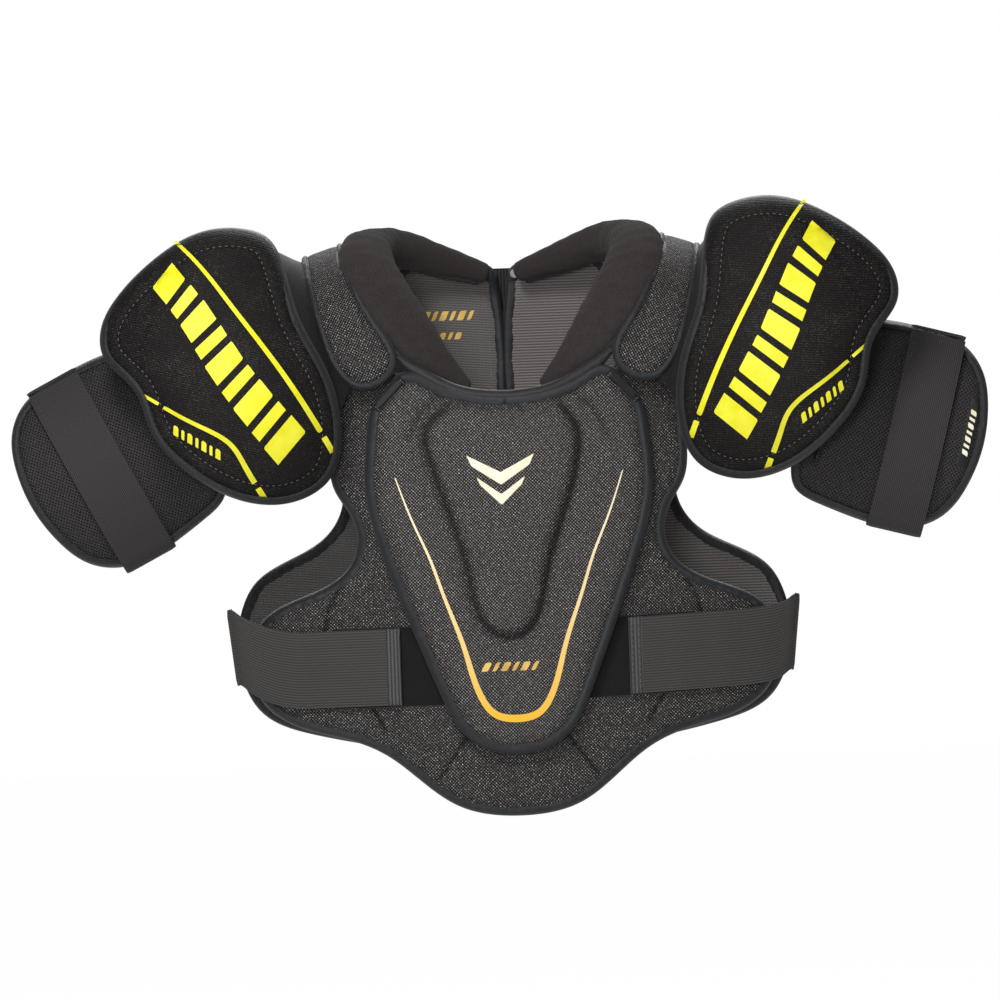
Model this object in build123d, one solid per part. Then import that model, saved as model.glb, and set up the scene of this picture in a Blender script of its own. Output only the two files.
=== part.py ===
from build123d import *

# Ice-hockey shoulder pads, junior size, in millimetres.
# Frame as worn: +Z is up, the chest faces -Y and the wearer's left arm is at +X.
# The origin is on the mid-plane, at the height where the yokes rest on the shoulders.
# Soft layers are plain closed solids: foam, stiffener, cover and binding are separate pieces.

import os
from math import hypot

os.makedirs("parts", exist_ok=True)

# ---- Driving dimensions -------------------------------------------------------------------
LAYER_GAP = 0.2  # between two layers of one pad
BINDING_WIDTH = 6.0  # how far an edge binding reaches in from the edge

TORSO_R = 420.0  # plan-view radius of the chest and back pads' inner faces
TORSO_HALF_DEPTH = 76.0  # from the mid-plane to those faces at the centre
TORSO_AXIS = TORSO_R - TORSO_HALF_DEPTH
TORSO_HEIGHT = 460.0
TORSO_MID_Z = -190.0

# Layers, as distances out from the torso pads' inner face.
PAD_FOAM = (0.0, 9.0)
PAD_COVER = (9.2, 10.8)
PAD_BINDING = (-1.5, 11.5)
BACK_LINER = (-1.4, -0.2)
LOOP_PATCH = (11.0, 11.8)
SHIELD_FOAM = (12.6, 18.4)
SHIELD_PLATE = (18.6, 21.2)
SHIELD_COVER = (21.4, 23.4)
SHIELD_BOSS = (21.6, 28.0)
BOSS_COVER_TOP = 30.0
SHIELD_BINDING = (12.4, 24.6)
CORNER_TAB = (24.8, 26.4)
HOOK_PATCH = (12.8, 13.8)
WAIST_STRAP = (14.0, 16.0)
GUSSET = (11.8, 13.2)

YOKE_R_IN = 84.0  # the yoke's arch over the shoulder, seen from the side
YOKE_FOAM = (0.4, 7.4)
YOKE_COVER = (7.6, 9.2)
YOKE_BINDING = (0.0, 10.0)
YOKE_AXIS_Z = -89.0
YOKE_MID_X = 112.0
YOKE_SLOPE = 18.0  # degrees that the shoulder falls outwards
YOKE_SPAN = 120.0
YOKE_LEG = 40.0

COLLAR_R = 15.0
COLLAR_REAR_R = 11.0

CAP_R = 140.0  # outer face of the shoulder cap's dome
CAP_AXIS_Y = 0.0
CAP_CENTRE = (62.0, -20.0)  # the dome's centre from the cap's pivot
CAP_FOAM = (-9.5, -4.0)
CAP_SHELL = (-3.8, -1.8)
CAP_COVER = (-1.6, 0.0)
CAP_BINDING = (-10.5, 0.5)

GUARD_R = 95.0  # outer face of the bicep guard
GUARD_AXIS_Y = 10.0
GUARD_REACH = 70.0  # from the guard's pivot to the middle of its strap
GUARD_FOAM = (-10.0, -4.0)
GUARD_PLATE = (-3.8, -1.8)
GUARD_COVER = (-1.6, 0.0)
GUARD_BINDING = (-11.0, 1.0)
ARM_HOOK = (1.6, 2.6)
ARM_STRAP = (2.8, 4.8)
ARM_STRAP_WIDTH = 38.0
ARM_LOOP_R = 76.4  # rear run of the elastic, around the arm
ARM_LOOP_AXIS_Y = GUARD_AXIS_Y - 69.4
ARM_LOOP_THICK = 2.0
ARM_LOOP_FRONT_Y = GUARD_AXIS_Y - 66.0  # where the rear run meets the guard's edges

WAIST_STRAP_WIDTH = 52.0
WAIST_STRAP_RISE = 0.138  # the strap climbs outwards by this slope
WAIST_TAB_X = 78.0
WAIST_CORNER_X = 186.0
WAIST_MID_Z = -279.6  # strap's middle at its tab end
SIDE_STRAP_X = (191.5, 193.5)
SIDE_STRAP_Y = (-44.0, 48.0)

# How each arm lies: the cap's pivot, the cap's turn, the guard's pivot, its droop, and how far
# its strap has slid outwards. The wearer's left arm (+X) is held a little higher than the right.
ARMS = {
    "left": dict(side=1, cap=(129.6, -45.0), turn=0.0, guard=(204.7, -112.5), droop=14.9, slid=7.0),
    "right": dict(side=-1, cap=(135.0, -48.0), turn=7.2, guard=(215.9, -107.7), droop=27.4, slid=0.0),
}

# ---- Outlines, as (x, z) seen from the front ----------------------------------------------
CHEST_HALF = [
    (0, -104), (40, -99), (68, -90), (96, -87), (114, -95), (122, -130), (119, -160),
    (109, -177), (105, -196), (111, -212), (124, -223), (145, -232), (166, -242),
    (178, -256), (181, -280), (173, -303), (150, -320), (112, -331), (90, -341),
    (66, -360), (42, -377), (0, -385),
]
SHIELD_HALF = [
    (0, -100), (30, -96), (52, -86), (64, -80.5), (73, -82), (82, -92), (91, -103),
    (96, -125), (98.5, -156), (88, -206), (76, -239), (62, -275), (49, -307),
    (36, -329), (19, -340), (0, -343),
]
BOSS_HALF = [
    (0, -112), (32, -112), (46, -118), (53, -134), (45, -177), (33, -214), (21, -241),
    (11, -259), (0, -265),
]
BACK = [
    (3.5, -16), (6, -9), (14, -7), (40, -5), (58, -11), (67, -32), (66, -58), (74, -80),
    (96, -88), (113, -97), (121, -130), (116, -170), (126, -189), (151, -205),
    (178, -222), (188, -242), (189, -285), (176, -311), (140, -328), (70, -342),
    (14, -346), (6, -344), (3.5, -336), (3.5, -180),
]
YOKE = [
    (136, 12), (136, -8), (131, -36), (122, -66), (112, -84), (101, -91.5), (90, -91.5),
    (80, -84), (75, -77), (77, -68), (90, -50), (102, -28), (107, -8), (108, 12),
    (114, 20), (126, 20),
]
CAP = [
    (2, 5), (8, 46), (15, 64), (34, 74), (62, 75), (92, 63), (120, 43), (137, 20),
    (138, 2), (121, -24), (114, -54), (95, -84), (58, -111), (26, -116), (-1, -104),
    (-14, -70), (-10, -30),
]
GUARD = [
    (-72, -40), (-66, -56), (-45, -64), (-18, -68), (20, -65), (38, -52), (49, -28),
    (53, 0), (50, 28), (42, 49), (26, 64), (-8, 70), (-40, 68), (-64, 58), (-72, 40),
]
# Collar rolls, as (x, y, z) along their middle for the +X side.
COLLAR_ROUTE = [
    (29, -58, -90), (43, -58, -77), (59, -55, -61), (74, -47, -43), (85, -32, -23),
    (90, -8, -6), (87, 16, 1), (74, 34, 3),
]
COLLAR_REAR_ROUTE = [(62, 43, 2), (46, 52, -1), (29, 58, -6), (15, 59, -11)]


# ---- Shape helpers ------------------------------------------------------------------------
def whole(half):
    """The closed outline whose right half runs from top centre to bottom centre."""
    return half + [(-x, z) for x, z in reversed(half[1:-1])]


def flipped(points, side):
    """The outline for that side of the body: side is 1 for +X and -1 for -X."""
    return [(side * x, z) for x, z in points]


def inset(points, amount):
    """The closed outline moved inwards by amount."""
    pairs = zip(points, points[1:] + points[:1])
    inward = 1 if sum(a[0] * b[1] - b[0] * a[1] for a, b in pairs) > 0 else -1
    moved = []
    for i, (x, z) in enumerate(points):
        xa, za = points[i - 1]
        xb, zb = points[(i + 1) % len(points)]
        run = inward * hypot(xb - xa, zb - za)
        moved.append((x - (zb - za) / run * amount, z + (xb - xa) / run * amount))
    return moved


def prism(points, near, far, smooth=True):
    """The outline swept along Y from near to far."""
    corners = [Vector(x, near, z) for x, z in points]
    if smooth:
        wire = Wire([Edge.make_spline(corners, periodic=True)])
    else:
        wire = Wire.make_polygon(corners, close=True)
    return Solid.extrude(Face(wire), Vector(0, far - near, 0))


def ring(points, width, near, far):
    """The band of that width just inside the outline, swept along Y."""
    return prism(points, near, far) - prism(inset(points, width), near, far)


def torso_shell(layer, front=True):
    """The chest's or back's curved slab between two distances from its inner face."""
    low, high = (TORSO_R + t for t in layer)
    tube = Cylinder(high, TORSO_HEIGHT) - Cylinder(low, TORSO_HEIGHT)
    return Pos(0, TORSO_AXIS if front else -TORSO_AXIS, TORSO_MID_Z) * tube


def front_piece(points, layer, smooth=True):
    return torso_shell(layer) & prism(points, -150, -5, smooth)


def front_ring(points, layer):
    return torso_shell(layer) & ring(points, BINDING_WIDTH, -150, -5)


def back_piece(points, layer):
    return torso_shell(layer, front=False) & prism(points, 5, 150)


def yoke_arch(layer, side):
    """Half tube over the shoulder with straight legs, sloping down outwards."""
    arches = []
    for radius in (YOKE_R_IN + layer[1], YOKE_R_IN + layer[0]):
        left, right = (Vector(-YOKE_SPAN / 2, y, 0) for y in (-radius, radius))
        drop = Vector(0, 0, -YOKE_LEG)
        edges = [
            Edge.make_three_point_arc(left, Vector(-YOKE_SPAN / 2, 0, radius), right),
            Edge.make_line(right, right + drop),
            Edge.make_line(right + drop, left + drop),
            Edge.make_line(left + drop, left),
        ]
        arches.append(Solid.extrude(Face(Wire(edges)), Vector(YOKE_SPAN, 0, 0)))
    slab = arches[0] - arches[1]
    return Pos(side * YOKE_MID_X, 0, YOKE_AXIS_Z) * Rot(0, side * YOKE_SLOPE, 0) * slab


def dome(layer, side):
    """The cap's spherical slab, from the cap's pivot."""
    low, high = (CAP_R + t for t in layer)
    shell = Sphere(high) - Sphere(low)
    return Pos(side * CAP_CENTRE[0], CAP_AXIS_Y, CAP_CENTRE[1]) * shell


def arm_tube(r_in, r_out, axis_y, length=200.0):
    """A tube along the arm, from the guard's strap centre."""
    tube = Cylinder(r_out, length, rotation=(0, 90, 0)) - Cylinder(r_in, length, rotation=(0, 90, 0))
    return Pos(0, axis_y, 0) * tube


def guard_slab(layer):
    return arm_tube(GUARD_R + layer[0], GUARD_R + layer[1], GUARD_AXIS_Y)


def rolled(route, radius, side):
    """A round roll that follows a smooth route."""
    points = [Vector(side * x, y, z) for x, y, z in route]
    path = Edge.make_spline(points)
    start = Plane(origin=path @ 0, z_dir=path % 0)
    return sweep(start * Circle(radius), path=path)


def band(x0, x1, half_width):
    """The waist strap's slanted outline between two distances from the centre."""
    mid = [WAIST_MID_Z + WAIST_STRAP_RISE * (x - WAIST_TAB_X) for x in (x0, x1)]
    return [
        (x0, mid[0] - half_width), (x1, mid[1] - half_width),
        (x1, mid[1] + half_width), (x0, mid[0] + half_width),
    ]


def write(name, shape):
    solids = shape.solids()
    export_step(solids[0] if len(solids) == 1 else Compound(children=list(solids)), f"parts/{name}.step")


# ---- Chest pad and floating sternum shield ------------------------------------------------
def chest():
    outline = whole(CHEST_HALF)
    inner = inset(outline, BINDING_WIDTH + LAYER_GAP)
    write("chest_foam", front_piece(inner, PAD_FOAM))
    write("chest_cover", front_piece(inner, PAD_COVER))
    write("chest_binding", front_ring(outline, PAD_BINDING))
    patches = []
    for side in (1, -1):
        patch = flipped(band(44, 124, WAIST_STRAP_WIDTH / 2 + 2), side)
        patches += front_piece(patch, LOOP_PATCH, smooth=False).solids()
    write("waist_loop_patches", Compound(children=patches))


def shield():
    outline = whole(SHIELD_HALF)
    inner = inset(outline, BINDING_WIDTH + LAYER_GAP)
    boss = whole(BOSS_HALF)
    write("shield_foam", front_piece(inner, SHIELD_FOAM))
    write("sternum_plate", front_piece(inset(outline, 12), SHIELD_PLATE))
    write("sternum_boss", front_piece(inset(boss, 0.3), SHIELD_BOSS))
    raised = front_piece(inset(boss, -2), (SHIELD_COVER[0], BOSS_COVER_TOP))
    hollow = front_piece(boss, (SHIELD_COVER[0] - 1, SHIELD_BOSS[1] + LAYER_GAP))
    write("shield_cover", front_piece(inner, SHIELD_COVER) + raised - hollow)
    write("shield_binding", front_ring(outline, SHIELD_BINDING))
    tabs = []
    for side in (1, -1):
        tab = flipped([(66, -85), (72, -79.5), (93, -102), (87, -107.5)], side)
        tabs += front_piece(tab, CORNER_TAB, smooth=False).solids()
    write("shield_corner_tabs", Compound(children=tabs))


# ---- Back halves, joined by an elastic gusset ---------------------------------------------
def back_half(name, side):
    outline = flipped(BACK, side)
    inner = inset(outline, BINDING_WIDTH + LAYER_GAP)
    write(f"{name}_back_foam", back_piece(inner, PAD_FOAM))
    write(f"{name}_back_cover", back_piece(inner, PAD_COVER))
    write(f"{name}_back_liner", back_piece(inner, BACK_LINER))
    edge = torso_shell(PAD_BINDING, front=False) & ring(outline, BINDING_WIDTH, 5, 150)
    write(f"{name}_back_binding", edge)


def back_centre():
    strip = prism([(-10, -16), (10, -16), (10, -338), (-10, -338)], 5, 150, smooth=False)
    write("spine_gusset", torso_shell(GUSSET, front=False) & strip)
    write("back_snap", Pos(9, TORSO_HALF_DEPTH - 2.8, -13) * Cylinder(3.2, 2, rotation=(90, 0, 0)))


# ---- Yokes and collar ---------------------------------------------------------------------
def yoke(name, side):
    outline = flipped(YOKE, side)
    inner = prism(inset(outline, BINDING_WIDTH + LAYER_GAP), -150, 150)
    write(f"{name}_yoke_foam", yoke_arch(YOKE_FOAM, side) & inner)
    write(f"{name}_yoke_cover", yoke_arch(YOKE_COVER, side) & inner)
    write(f"{name}_yoke_binding", yoke_arch(YOKE_BINDING, side) & ring(outline, BINDING_WIDTH, -150, 150))


def collar(name, side):
    write(f"{name}_collar_roll", rolled(COLLAR_ROUTE, COLLAR_R, side))
    write(f"{name}_collar_rear_pad", rolled(COLLAR_REAR_ROUTE, COLLAR_REAR_R, side))


# ---- Waist straps -------------------------------------------------------------------------
def waist_strap(name, side):
    half = WAIST_STRAP_WIDTH / 2
    flap = flipped(band(WAIST_TAB_X, WAIST_CORNER_X, half), side)
    hook = flipped(band(WAIST_TAB_X + 4, WAIST_TAB_X + 36, half - 4), side)
    write(f"{name}_waist_strap", front_piece(flap, WAIST_STRAP, smooth=False))
    write(f"{name}_waist_hook", front_piece(hook, HOOK_PATCH, smooth=False))
    mid = WAIST_MID_Z + WAIST_STRAP_RISE * (SIDE_STRAP_X[0] - WAIST_TAB_X)
    size = (SIDE_STRAP_X[1] - SIDE_STRAP_X[0], SIDE_STRAP_Y[1] - SIDE_STRAP_Y[0], WAIST_STRAP_WIDTH)
    place = Pos(side * sum(SIDE_STRAP_X) / 2, sum(SIDE_STRAP_Y) / 2, mid)
    write(f"{name}_waist_side_strap", place * Box(*size))


# ---- Arms: shoulder cap, bicep guard and arm strap ----------------------------------------
def cap(name, arm):
    side = arm["side"]
    outline = flipped(CAP, side)
    place = Pos(side * arm["cap"][0], 0, arm["cap"][1]) * Rot(0, side * arm["turn"], 0)
    inner = prism(inset(outline, BINDING_WIDTH + LAYER_GAP), -160, -25)
    for part, layer in (("foam", CAP_FOAM), ("shell", CAP_SHELL), ("cover", CAP_COVER)):
        write(f"{name}_cap_{part}", place * (dome(layer, side) & inner))
    edge = dome(CAP_BINDING, side) & ring(outline, BINDING_WIDTH, -160, -25)
    write(f"{name}_cap_binding", place * edge)


def guard(name, arm):
    side = arm["side"]
    outline = flipped(GUARD, side)
    pivot = Pos(side * arm["guard"][0], 0, arm["guard"][1]) * Rot(0, side * arm["droop"], 0)
    place = pivot * Pos(side * GUARD_REACH, 0, 0)
    inner = prism(inset(outline, BINDING_WIDTH + LAYER_GAP), -110, 20)
    for part, layer in (("foam", GUARD_FOAM), ("plate", GUARD_PLATE), ("cover", GUARD_COVER)):
        write(f"{name}_guard_{part}", place * (guard_slab(layer) & inner))
    edge = guard_slab(GUARD_BINDING) & ring(outline, BINDING_WIDTH, -110, 20)
    write(f"{name}_guard_binding", place * edge)

    place = place * Pos(side * arm["slid"], 0, 0)
    half = ARM_STRAP_WIDTH / 2
    loop = arm_tube(ARM_LOOP_R - ARM_LOOP_THICK / 2, ARM_LOOP_R + ARM_LOOP_THICK / 2, ARM_LOOP_AXIS_Y)
    behind = Pos(0, ARM_LOOP_FRONT_Y + 50, 0) * Box(ARM_STRAP_WIDTH, 100, 200)
    write(f"{name}_arm_loop", place * (loop & behind))
    flap = prism([(-half, -73), (half, -73), (half, 66), (-half, 66)], -110, 20, smooth=False)
    write(f"{name}_arm_strap", place * (guard_slab(ARM_STRAP) & flap))
    hook = prism([(-half + 4, 34), (half - 4, 34), (half - 4, 62), (-half + 4, 62)], -110, 20, smooth=False)
    write(f"{name}_arm_hook", place * (guard_slab(ARM_HOOK) & hook))


# ---- The whole assembly -------------------------------------------------------------------
chest()
shield()
back_centre()
for arm_name, arm_data in ARMS.items():
    back_half(arm_name, arm_data["side"])
    yoke(arm_name, arm_data["side"])
    collar(arm_name, arm_data["side"])
    waist_strap(arm_name, arm_data["side"])
    cap(arm_name, arm_data)
    guard(arm_name, arm_data)
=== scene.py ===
"""Junior ice-hockey shoulder pads: the looks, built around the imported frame."""

from math import cos, hypot, pi, radians, sin, tau

import bmesh
import bpy
import numpy as np
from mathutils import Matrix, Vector
from mathutils.bvhtree import BVHTree
from mathutils.geometry import delaunay_2d_cdt

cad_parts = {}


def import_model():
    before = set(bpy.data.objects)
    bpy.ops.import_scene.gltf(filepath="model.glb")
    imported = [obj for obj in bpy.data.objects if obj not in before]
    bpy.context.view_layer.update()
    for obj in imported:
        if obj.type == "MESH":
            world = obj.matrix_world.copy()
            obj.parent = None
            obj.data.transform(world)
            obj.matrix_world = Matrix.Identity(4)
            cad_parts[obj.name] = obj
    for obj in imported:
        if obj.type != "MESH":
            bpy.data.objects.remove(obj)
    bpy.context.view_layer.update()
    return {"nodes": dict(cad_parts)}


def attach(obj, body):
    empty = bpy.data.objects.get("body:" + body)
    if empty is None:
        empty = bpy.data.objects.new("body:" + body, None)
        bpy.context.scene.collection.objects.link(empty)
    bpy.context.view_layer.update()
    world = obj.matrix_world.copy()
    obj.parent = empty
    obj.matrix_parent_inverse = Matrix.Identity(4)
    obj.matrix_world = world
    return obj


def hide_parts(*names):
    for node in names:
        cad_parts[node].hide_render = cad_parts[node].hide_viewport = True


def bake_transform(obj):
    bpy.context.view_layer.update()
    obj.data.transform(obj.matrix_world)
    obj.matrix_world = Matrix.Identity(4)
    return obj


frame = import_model()

# Shapes are worked out in millimetres, in the frame's own axes, and scaled when a mesh is made.
MM = 0.001
SIDES = (("left", 1), ("right", -1))

# ---- Driving dimensions, as in the design -------------------------------------------------
TORSO_R, TORSO_HALF_DEPTH = 420.0, 76.0
YOKE_R, YOKE_MID_X, YOKE_AXIS_Z, YOKE_SLOPE = 84.0, 112.0, -89.0, 18.0
YOKE_ARC_R = YOKE_R + 5.0  # where lengths over the shoulder are measured
CAP_R, CAP_CENTRE = 140.0, (62.0, -20.0)
GUARD_R, GUARD_AXIS_Y, GUARD_REACH = 95.0, 10.0, 70.0
LOOP_R, LOOP_AXIS_Y = 76.4, -59.4
ARMS = {
    "left": dict(side=1, cap=(129.6, -45.0), turn=0.0, guard=(204.7, -112.5), droop=14.9, slid=7.0),
    "right": dict(side=-1, cap=(135.0, -48.0), turn=7.2, guard=(215.9, -107.7), droop=27.4, slid=0.0),
}
CHEST_HALF = [
    (0, -104), (40, -99), (64, -88), (82, -78), (100, -82), (115, -94), (122, -130), (119, -160),
    (109, -177), (105, -196), (111, -212), (124, -223), (145, -232), (166, -242),
    (178, -256), (181, -280), (173, -303), (150, -320), (112, -331), (90, -341),
    (66, -360), (42, -377), (0, -385),
]
SHIELD_HALF = [
    (0, -100), (30, -96), (52, -86), (64, -80.5), (73, -82), (82, -92), (91, -103),
    (96, -125), (98.5, -156), (88, -206), (76, -239), (62, -275), (49, -307),
    (36, -329), (19, -340), (0, -343),
]
BACK = [
    (3.5, -16), (6, -9), (14, -5), (40, -2), (64, -2), (80, -20), (83, -50), (86, -76),
    (98, -88), (113, -97), (121, -130), (116, -170), (126, -189), (151, -205),
    (178, -222), (188, -242), (189, -285), (176, -311), (140, -328), (70, -342),
    (14, -346), (6, -344), (3.5, -336), (3.5, -180),
]
YOKE_FRONT = [
    (136, -8), (131, -36), (122, -66), (112, -84), (101, -91.5), (90, -91.5), (80, -86),
    (74, -78), (74, -67), (85, -48), (97, -27), (103, -8),
]
CAP = [
    (2, 5), (8, 46), (15, 64), (34, 74), (62, 75), (92, 63), (120, 43), (137, 20),
    (138, 2), (121, -24), (114, -54), (95, -84), (58, -111), (26, -116), (-1, -104),
    (-14, -70), (-10, -30),
]
GUARD = [
    (-72, -40), (-66, -56), (-45, -64), (-18, -68), (20, -65), (38, -52), (49, -28),
    (53, 0), (50, 28), (42, 49), (26, 64), (-8, 70), (-40, 68), (-64, 58), (-72, 40),
]
WAIST_TAB_X, WAIST_WIDTH, WAIST_FACE = 78.0, 52.0, 17.0
ARM_STRAP_WIDTH, ARM_STRAP_RISE = 38.0, 3.8
WAIST_MID = {  # the height of each waist strap's middle, from the front round to the side
    1: ([44, 78, 160, 176, 186, 192.5], [-279.8, -278.8, -275.6, -273.6, -270.2, -266.6]),
    -1: ([44, 78, 150, 170, 186, 192.5], [-281, -281, -281.5, -277, -268, -264.5]),
}


# ---- Curves -------------------------------------------------------------------------------
def spline(points, step, closed=True):
    """A smooth cubic through the points, resampled evenly about every step."""
    pieces = 24  # straight pieces per span, before it is resampled
    p = np.array(points, float)
    if closed:
        p = np.vstack([p, p[:1]])
    h = np.linalg.norm(np.diff(p, axis=0), axis=1)
    n = len(p)
    system, right = np.zeros((n, n)), np.zeros_like(p)
    slope = np.diff(p, axis=0) / h[:, None]
    for i in range(1, n - 1):
        system[i, i - 1:i + 2] = h[i - 1], 2 * (h[i - 1] + h[i]), h[i]
        right[i] = 6 * (slope[i] - slope[i - 1])
    if closed:
        system[0, 0], system[0, -1] = 1, -1
        system[-1, 0], system[-1, 1], system[-1, -2] = 2 * (h[-1] + h[0]), h[0], h[-1]
        right[-1] = 6 * (slope[0] - slope[-1])
    else:
        system[0, 0] = system[-1, -1] = 1
    bend = np.linalg.solve(system, right)
    b = np.linspace(0, 1, pieces, endpoint=False)[:, None]
    a = 1 - b
    fine = []
    for i in range(n - 1):
        cubic = ((a ** 3 - a) * bend[i] + (b ** 3 - b) * bend[i + 1]) * h[i] ** 2 / 6
        fine.append(a * p[i] + b * p[i + 1] + cubic)
    return resample(np.vstack(fine + [p[-1:]]), step, closed)


def lengths(line):
    """How far along the line each of its points is."""
    return np.concatenate([[0], np.cumsum(np.linalg.norm(np.diff(line, axis=0), axis=1))])


def picked(values, along, where):
    """Values known at lengths along a line, found at other lengths."""
    return np.stack([np.interp(where, along, column) for column in values.T], axis=-1)


def resample(line, step, closed=False):
    """The line's points, evenly spaced about step apart."""
    along = lengths(line)
    count = max(2, int(round(along[-1] / step)))
    even = picked(line, along, np.linspace(0, along[-1], count + 1))
    return even[:-1] if closed else even


def evenly(line, count):
    """Exactly count points along a line."""
    along = lengths(line)
    return picked(line, along, np.linspace(0, along[-1], count))


def mirrored(half):
    """A line that ends on the middle, and then its mirror image back to the start."""
    return half + [(-x, z) for x, z in reversed(half[:-1]) if x]


def flipped(points, side):
    return [(side * p[0], *p[1:]) for p in points]


def unit(vectors):
    return vectors / np.linalg.norm(vectors, axis=-1, keepdims=True)


def inward(line):
    """Unit normals that point into a closed 2D line."""
    ahead, behind = np.roll(line, -1, 0), np.roll(line, 1, 0)
    area = np.sum(line[:, 0] * ahead[:, 1] - ahead[:, 0] * line[:, 1])
    run = (ahead - behind) * (1 if area > 0 else -1)
    return unit(np.stack([-run[:, 1], run[:, 0]], axis=1))


def side_normals(line):
    """Unit normals to the left of an open 2D line."""
    run = np.gradient(line, axis=0)
    return unit(np.stack([-run[:, 1], run[:, 0]], 1))


def line_distance(points, line, closed=True):
    """Each point's distance from the line."""
    a = line
    b = np.roll(line, -1, 0)
    if not closed:
        a, b = a[:-1], b[:-1]
    run = b - a
    away = points[:, None, :] - a[None]
    share = np.clip(np.sum(away * run, -1) / np.maximum(np.sum(run * run, -1), 1e-9), 0, 1)
    return np.linalg.norm(away - share[..., None] * run, axis=-1).min(1)


def is_inside(points, line):
    """Whether each point is inside the closed line."""
    a, b = line, np.roll(line, -1, 0)
    px, pz = points[:, :1], points[:, 1:]
    crosses = (a[:, 1] > pz) != (b[:, 1] > pz)
    rise = np.where(b[:, 1] == a[:, 1], 1e-9, b[:, 1] - a[:, 1])
    return (crosses & (px < a[:, 0] + (b[:, 0] - a[:, 0]) * (pz - a[:, 1]) / rise)).sum(1) % 2 == 1


def signed_inside(u, v, outline):
    """How far inside the closed outline each place is, below zero outside."""
    flat = np.stack([u, v], 1)
    return line_distance(flat, outline) * np.where(is_inside(flat, outline), 1, -1)


def inset_line(line, amount):
    """The closed line moved inwards, without the points that a tight turn would fold over."""
    least = 0.93  # a point nearer the line than this share of the amount is folded over
    moved = line + inward(line) * amount
    return moved[line_distance(moved, line) > least * amount]


def inner_outline(outline):
    """Where a pad's cloth ends, just inside the tape's fold."""
    return inset_line(spline(outline, 3.0), 1.5)


def ease(x, low, high):
    """0 below low, 1 above high, smooth between."""
    s = np.clip((x - low) / (high - low), 0, 1)
    return s * s * (3 - 2 * s)


def bell(x, middle, width):
    """1 at the middle, falling to nothing about twice the width away."""
    return np.exp(-((x - middle) / width) ** 2)


def rolled(d, width):
    """0 at an edge to 1 at width inside it, as a quarter ellipse."""
    return np.sqrt(1 - (1 - np.clip(d / width, 0, 1)) ** 2)


def groove(u, v, lines, width):
    """1 on the lines, falling off over width."""
    flat = np.stack([u, v], 1)
    away = [line_distance(flat, np.asarray(line, float), closed=False) for line in lines]
    return bell(np.min(away, axis=0), 0, width)


def ripple(u, v, size, seed=0.0):
    """A smooth uneven surface from -1 to 1, with swells about size across."""
    k = tau / size
    return (
        np.sin(k * (0.83 * u + 0.41 * v) + seed) * np.sin(k * (0.67 * v - 0.31 * u) + 2.1 * seed)
        + 0.6 * np.sin(k * (1.71 * u - 0.93 * v) + 3.7 * seed)
        + 0.4 * np.sin(k * (0.57 * u + 2.13 * v) + 5.3 * seed)
    ) / 2


def squared(wave, power):
    """A sine or cosine, flattened towards a square wave by a power below 1."""
    return np.sign(wave) * abs(wave) ** power


# ---- Surfaces: (u, v, height) to (x, y, z) ------------------------------------------------
def torso(facing):
    """The chest's surface for -1 and the back's for 1. u is x and v is z."""
    def at(u, v, t):
        y = np.sqrt((TORSO_R + t) ** 2 - u ** 2) - (TORSO_R - TORSO_HALF_DEPTH)
        return np.stack([u, facing * y, v + 0 * y], -1)
    return at


def dome(u, v, t):
    """The shoulder cap's surface, from the cap's pivot."""
    away = (u - CAP_CENTRE[0]) ** 2 + (v - CAP_CENTRE[1]) ** 2
    return np.stack([u + 0 * t, -np.sqrt((CAP_R + t) ** 2 - away), v + 0 * t], -1)


def bicep(u, v, t):
    """The bicep guard's surface, from the middle of its strap."""
    return np.stack([u + 0 * t, GUARD_AXIS_Y - np.sqrt((GUARD_R + t) ** 2 - v ** 2), v + 0 * t], -1)


def arm_frame(surface, side, pivot, turn, reach=0.0):
    """The surface as it lies on one arm."""
    c, s = cos(radians(turn)), sin(radians(turn))

    def at(u, v, t):
        x, y, z = np.moveaxis(surface(u, v, t), -1, 0)
        x = x + reach
        return np.stack([side * (pivot[0] + x * c + z * s), y, pivot[1] - x * s + z * c], -1)
    return at


def cap_surface(arm):
    return arm_frame(dome, arm["side"], arm["cap"], arm["turn"])


def guard_surface(arm, slid=0.0):
    return arm_frame(bicep, arm["side"], arm["guard"], arm["droop"], GUARD_REACH + slid)


def yoke_surface(side):
    """The yoke's arch. u is across it, and v is the way over the shoulder, from the front up."""
    c, s = cos(radians(YOKE_SLOPE)), sin(radians(YOKE_SLOPE))

    def at(u, v, t):
        turn = np.minimum(np.abs(v) / YOKE_ARC_R, pi / 2)
        down = np.maximum(np.abs(v) - YOKE_ARC_R * pi / 2, 0)
        y = np.sign(v) * (YOKE_R + t) * np.sin(turn)
        z = (YOKE_R + t) * np.cos(turn) - down
        return np.stack([side * (YOKE_MID_X + u * c + z * s), y, YOKE_AXIS_Z - u * s + z * c], -1)
    return at


def yoke_outline():
    """The yoke's outline on its arch, front lobe and back lobe."""
    c, s = cos(radians(YOKE_SLOPE)), sin(radians(YOKE_SLOPE))
    front = []
    for x, z in YOKE_FRONT:
        dx, dz = x - YOKE_MID_X, z - YOKE_AXIS_Z
        up = dx * s + dz * c
        way = YOKE_ARC_R * np.arccos(min(1, up / YOKE_ARC_R)) if up > 0 else YOKE_ARC_R * pi / 2 - up
        front.append((dx * c - dz * s, -way))
    return front + [(u, -v) for u, v in reversed(front)]


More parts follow.
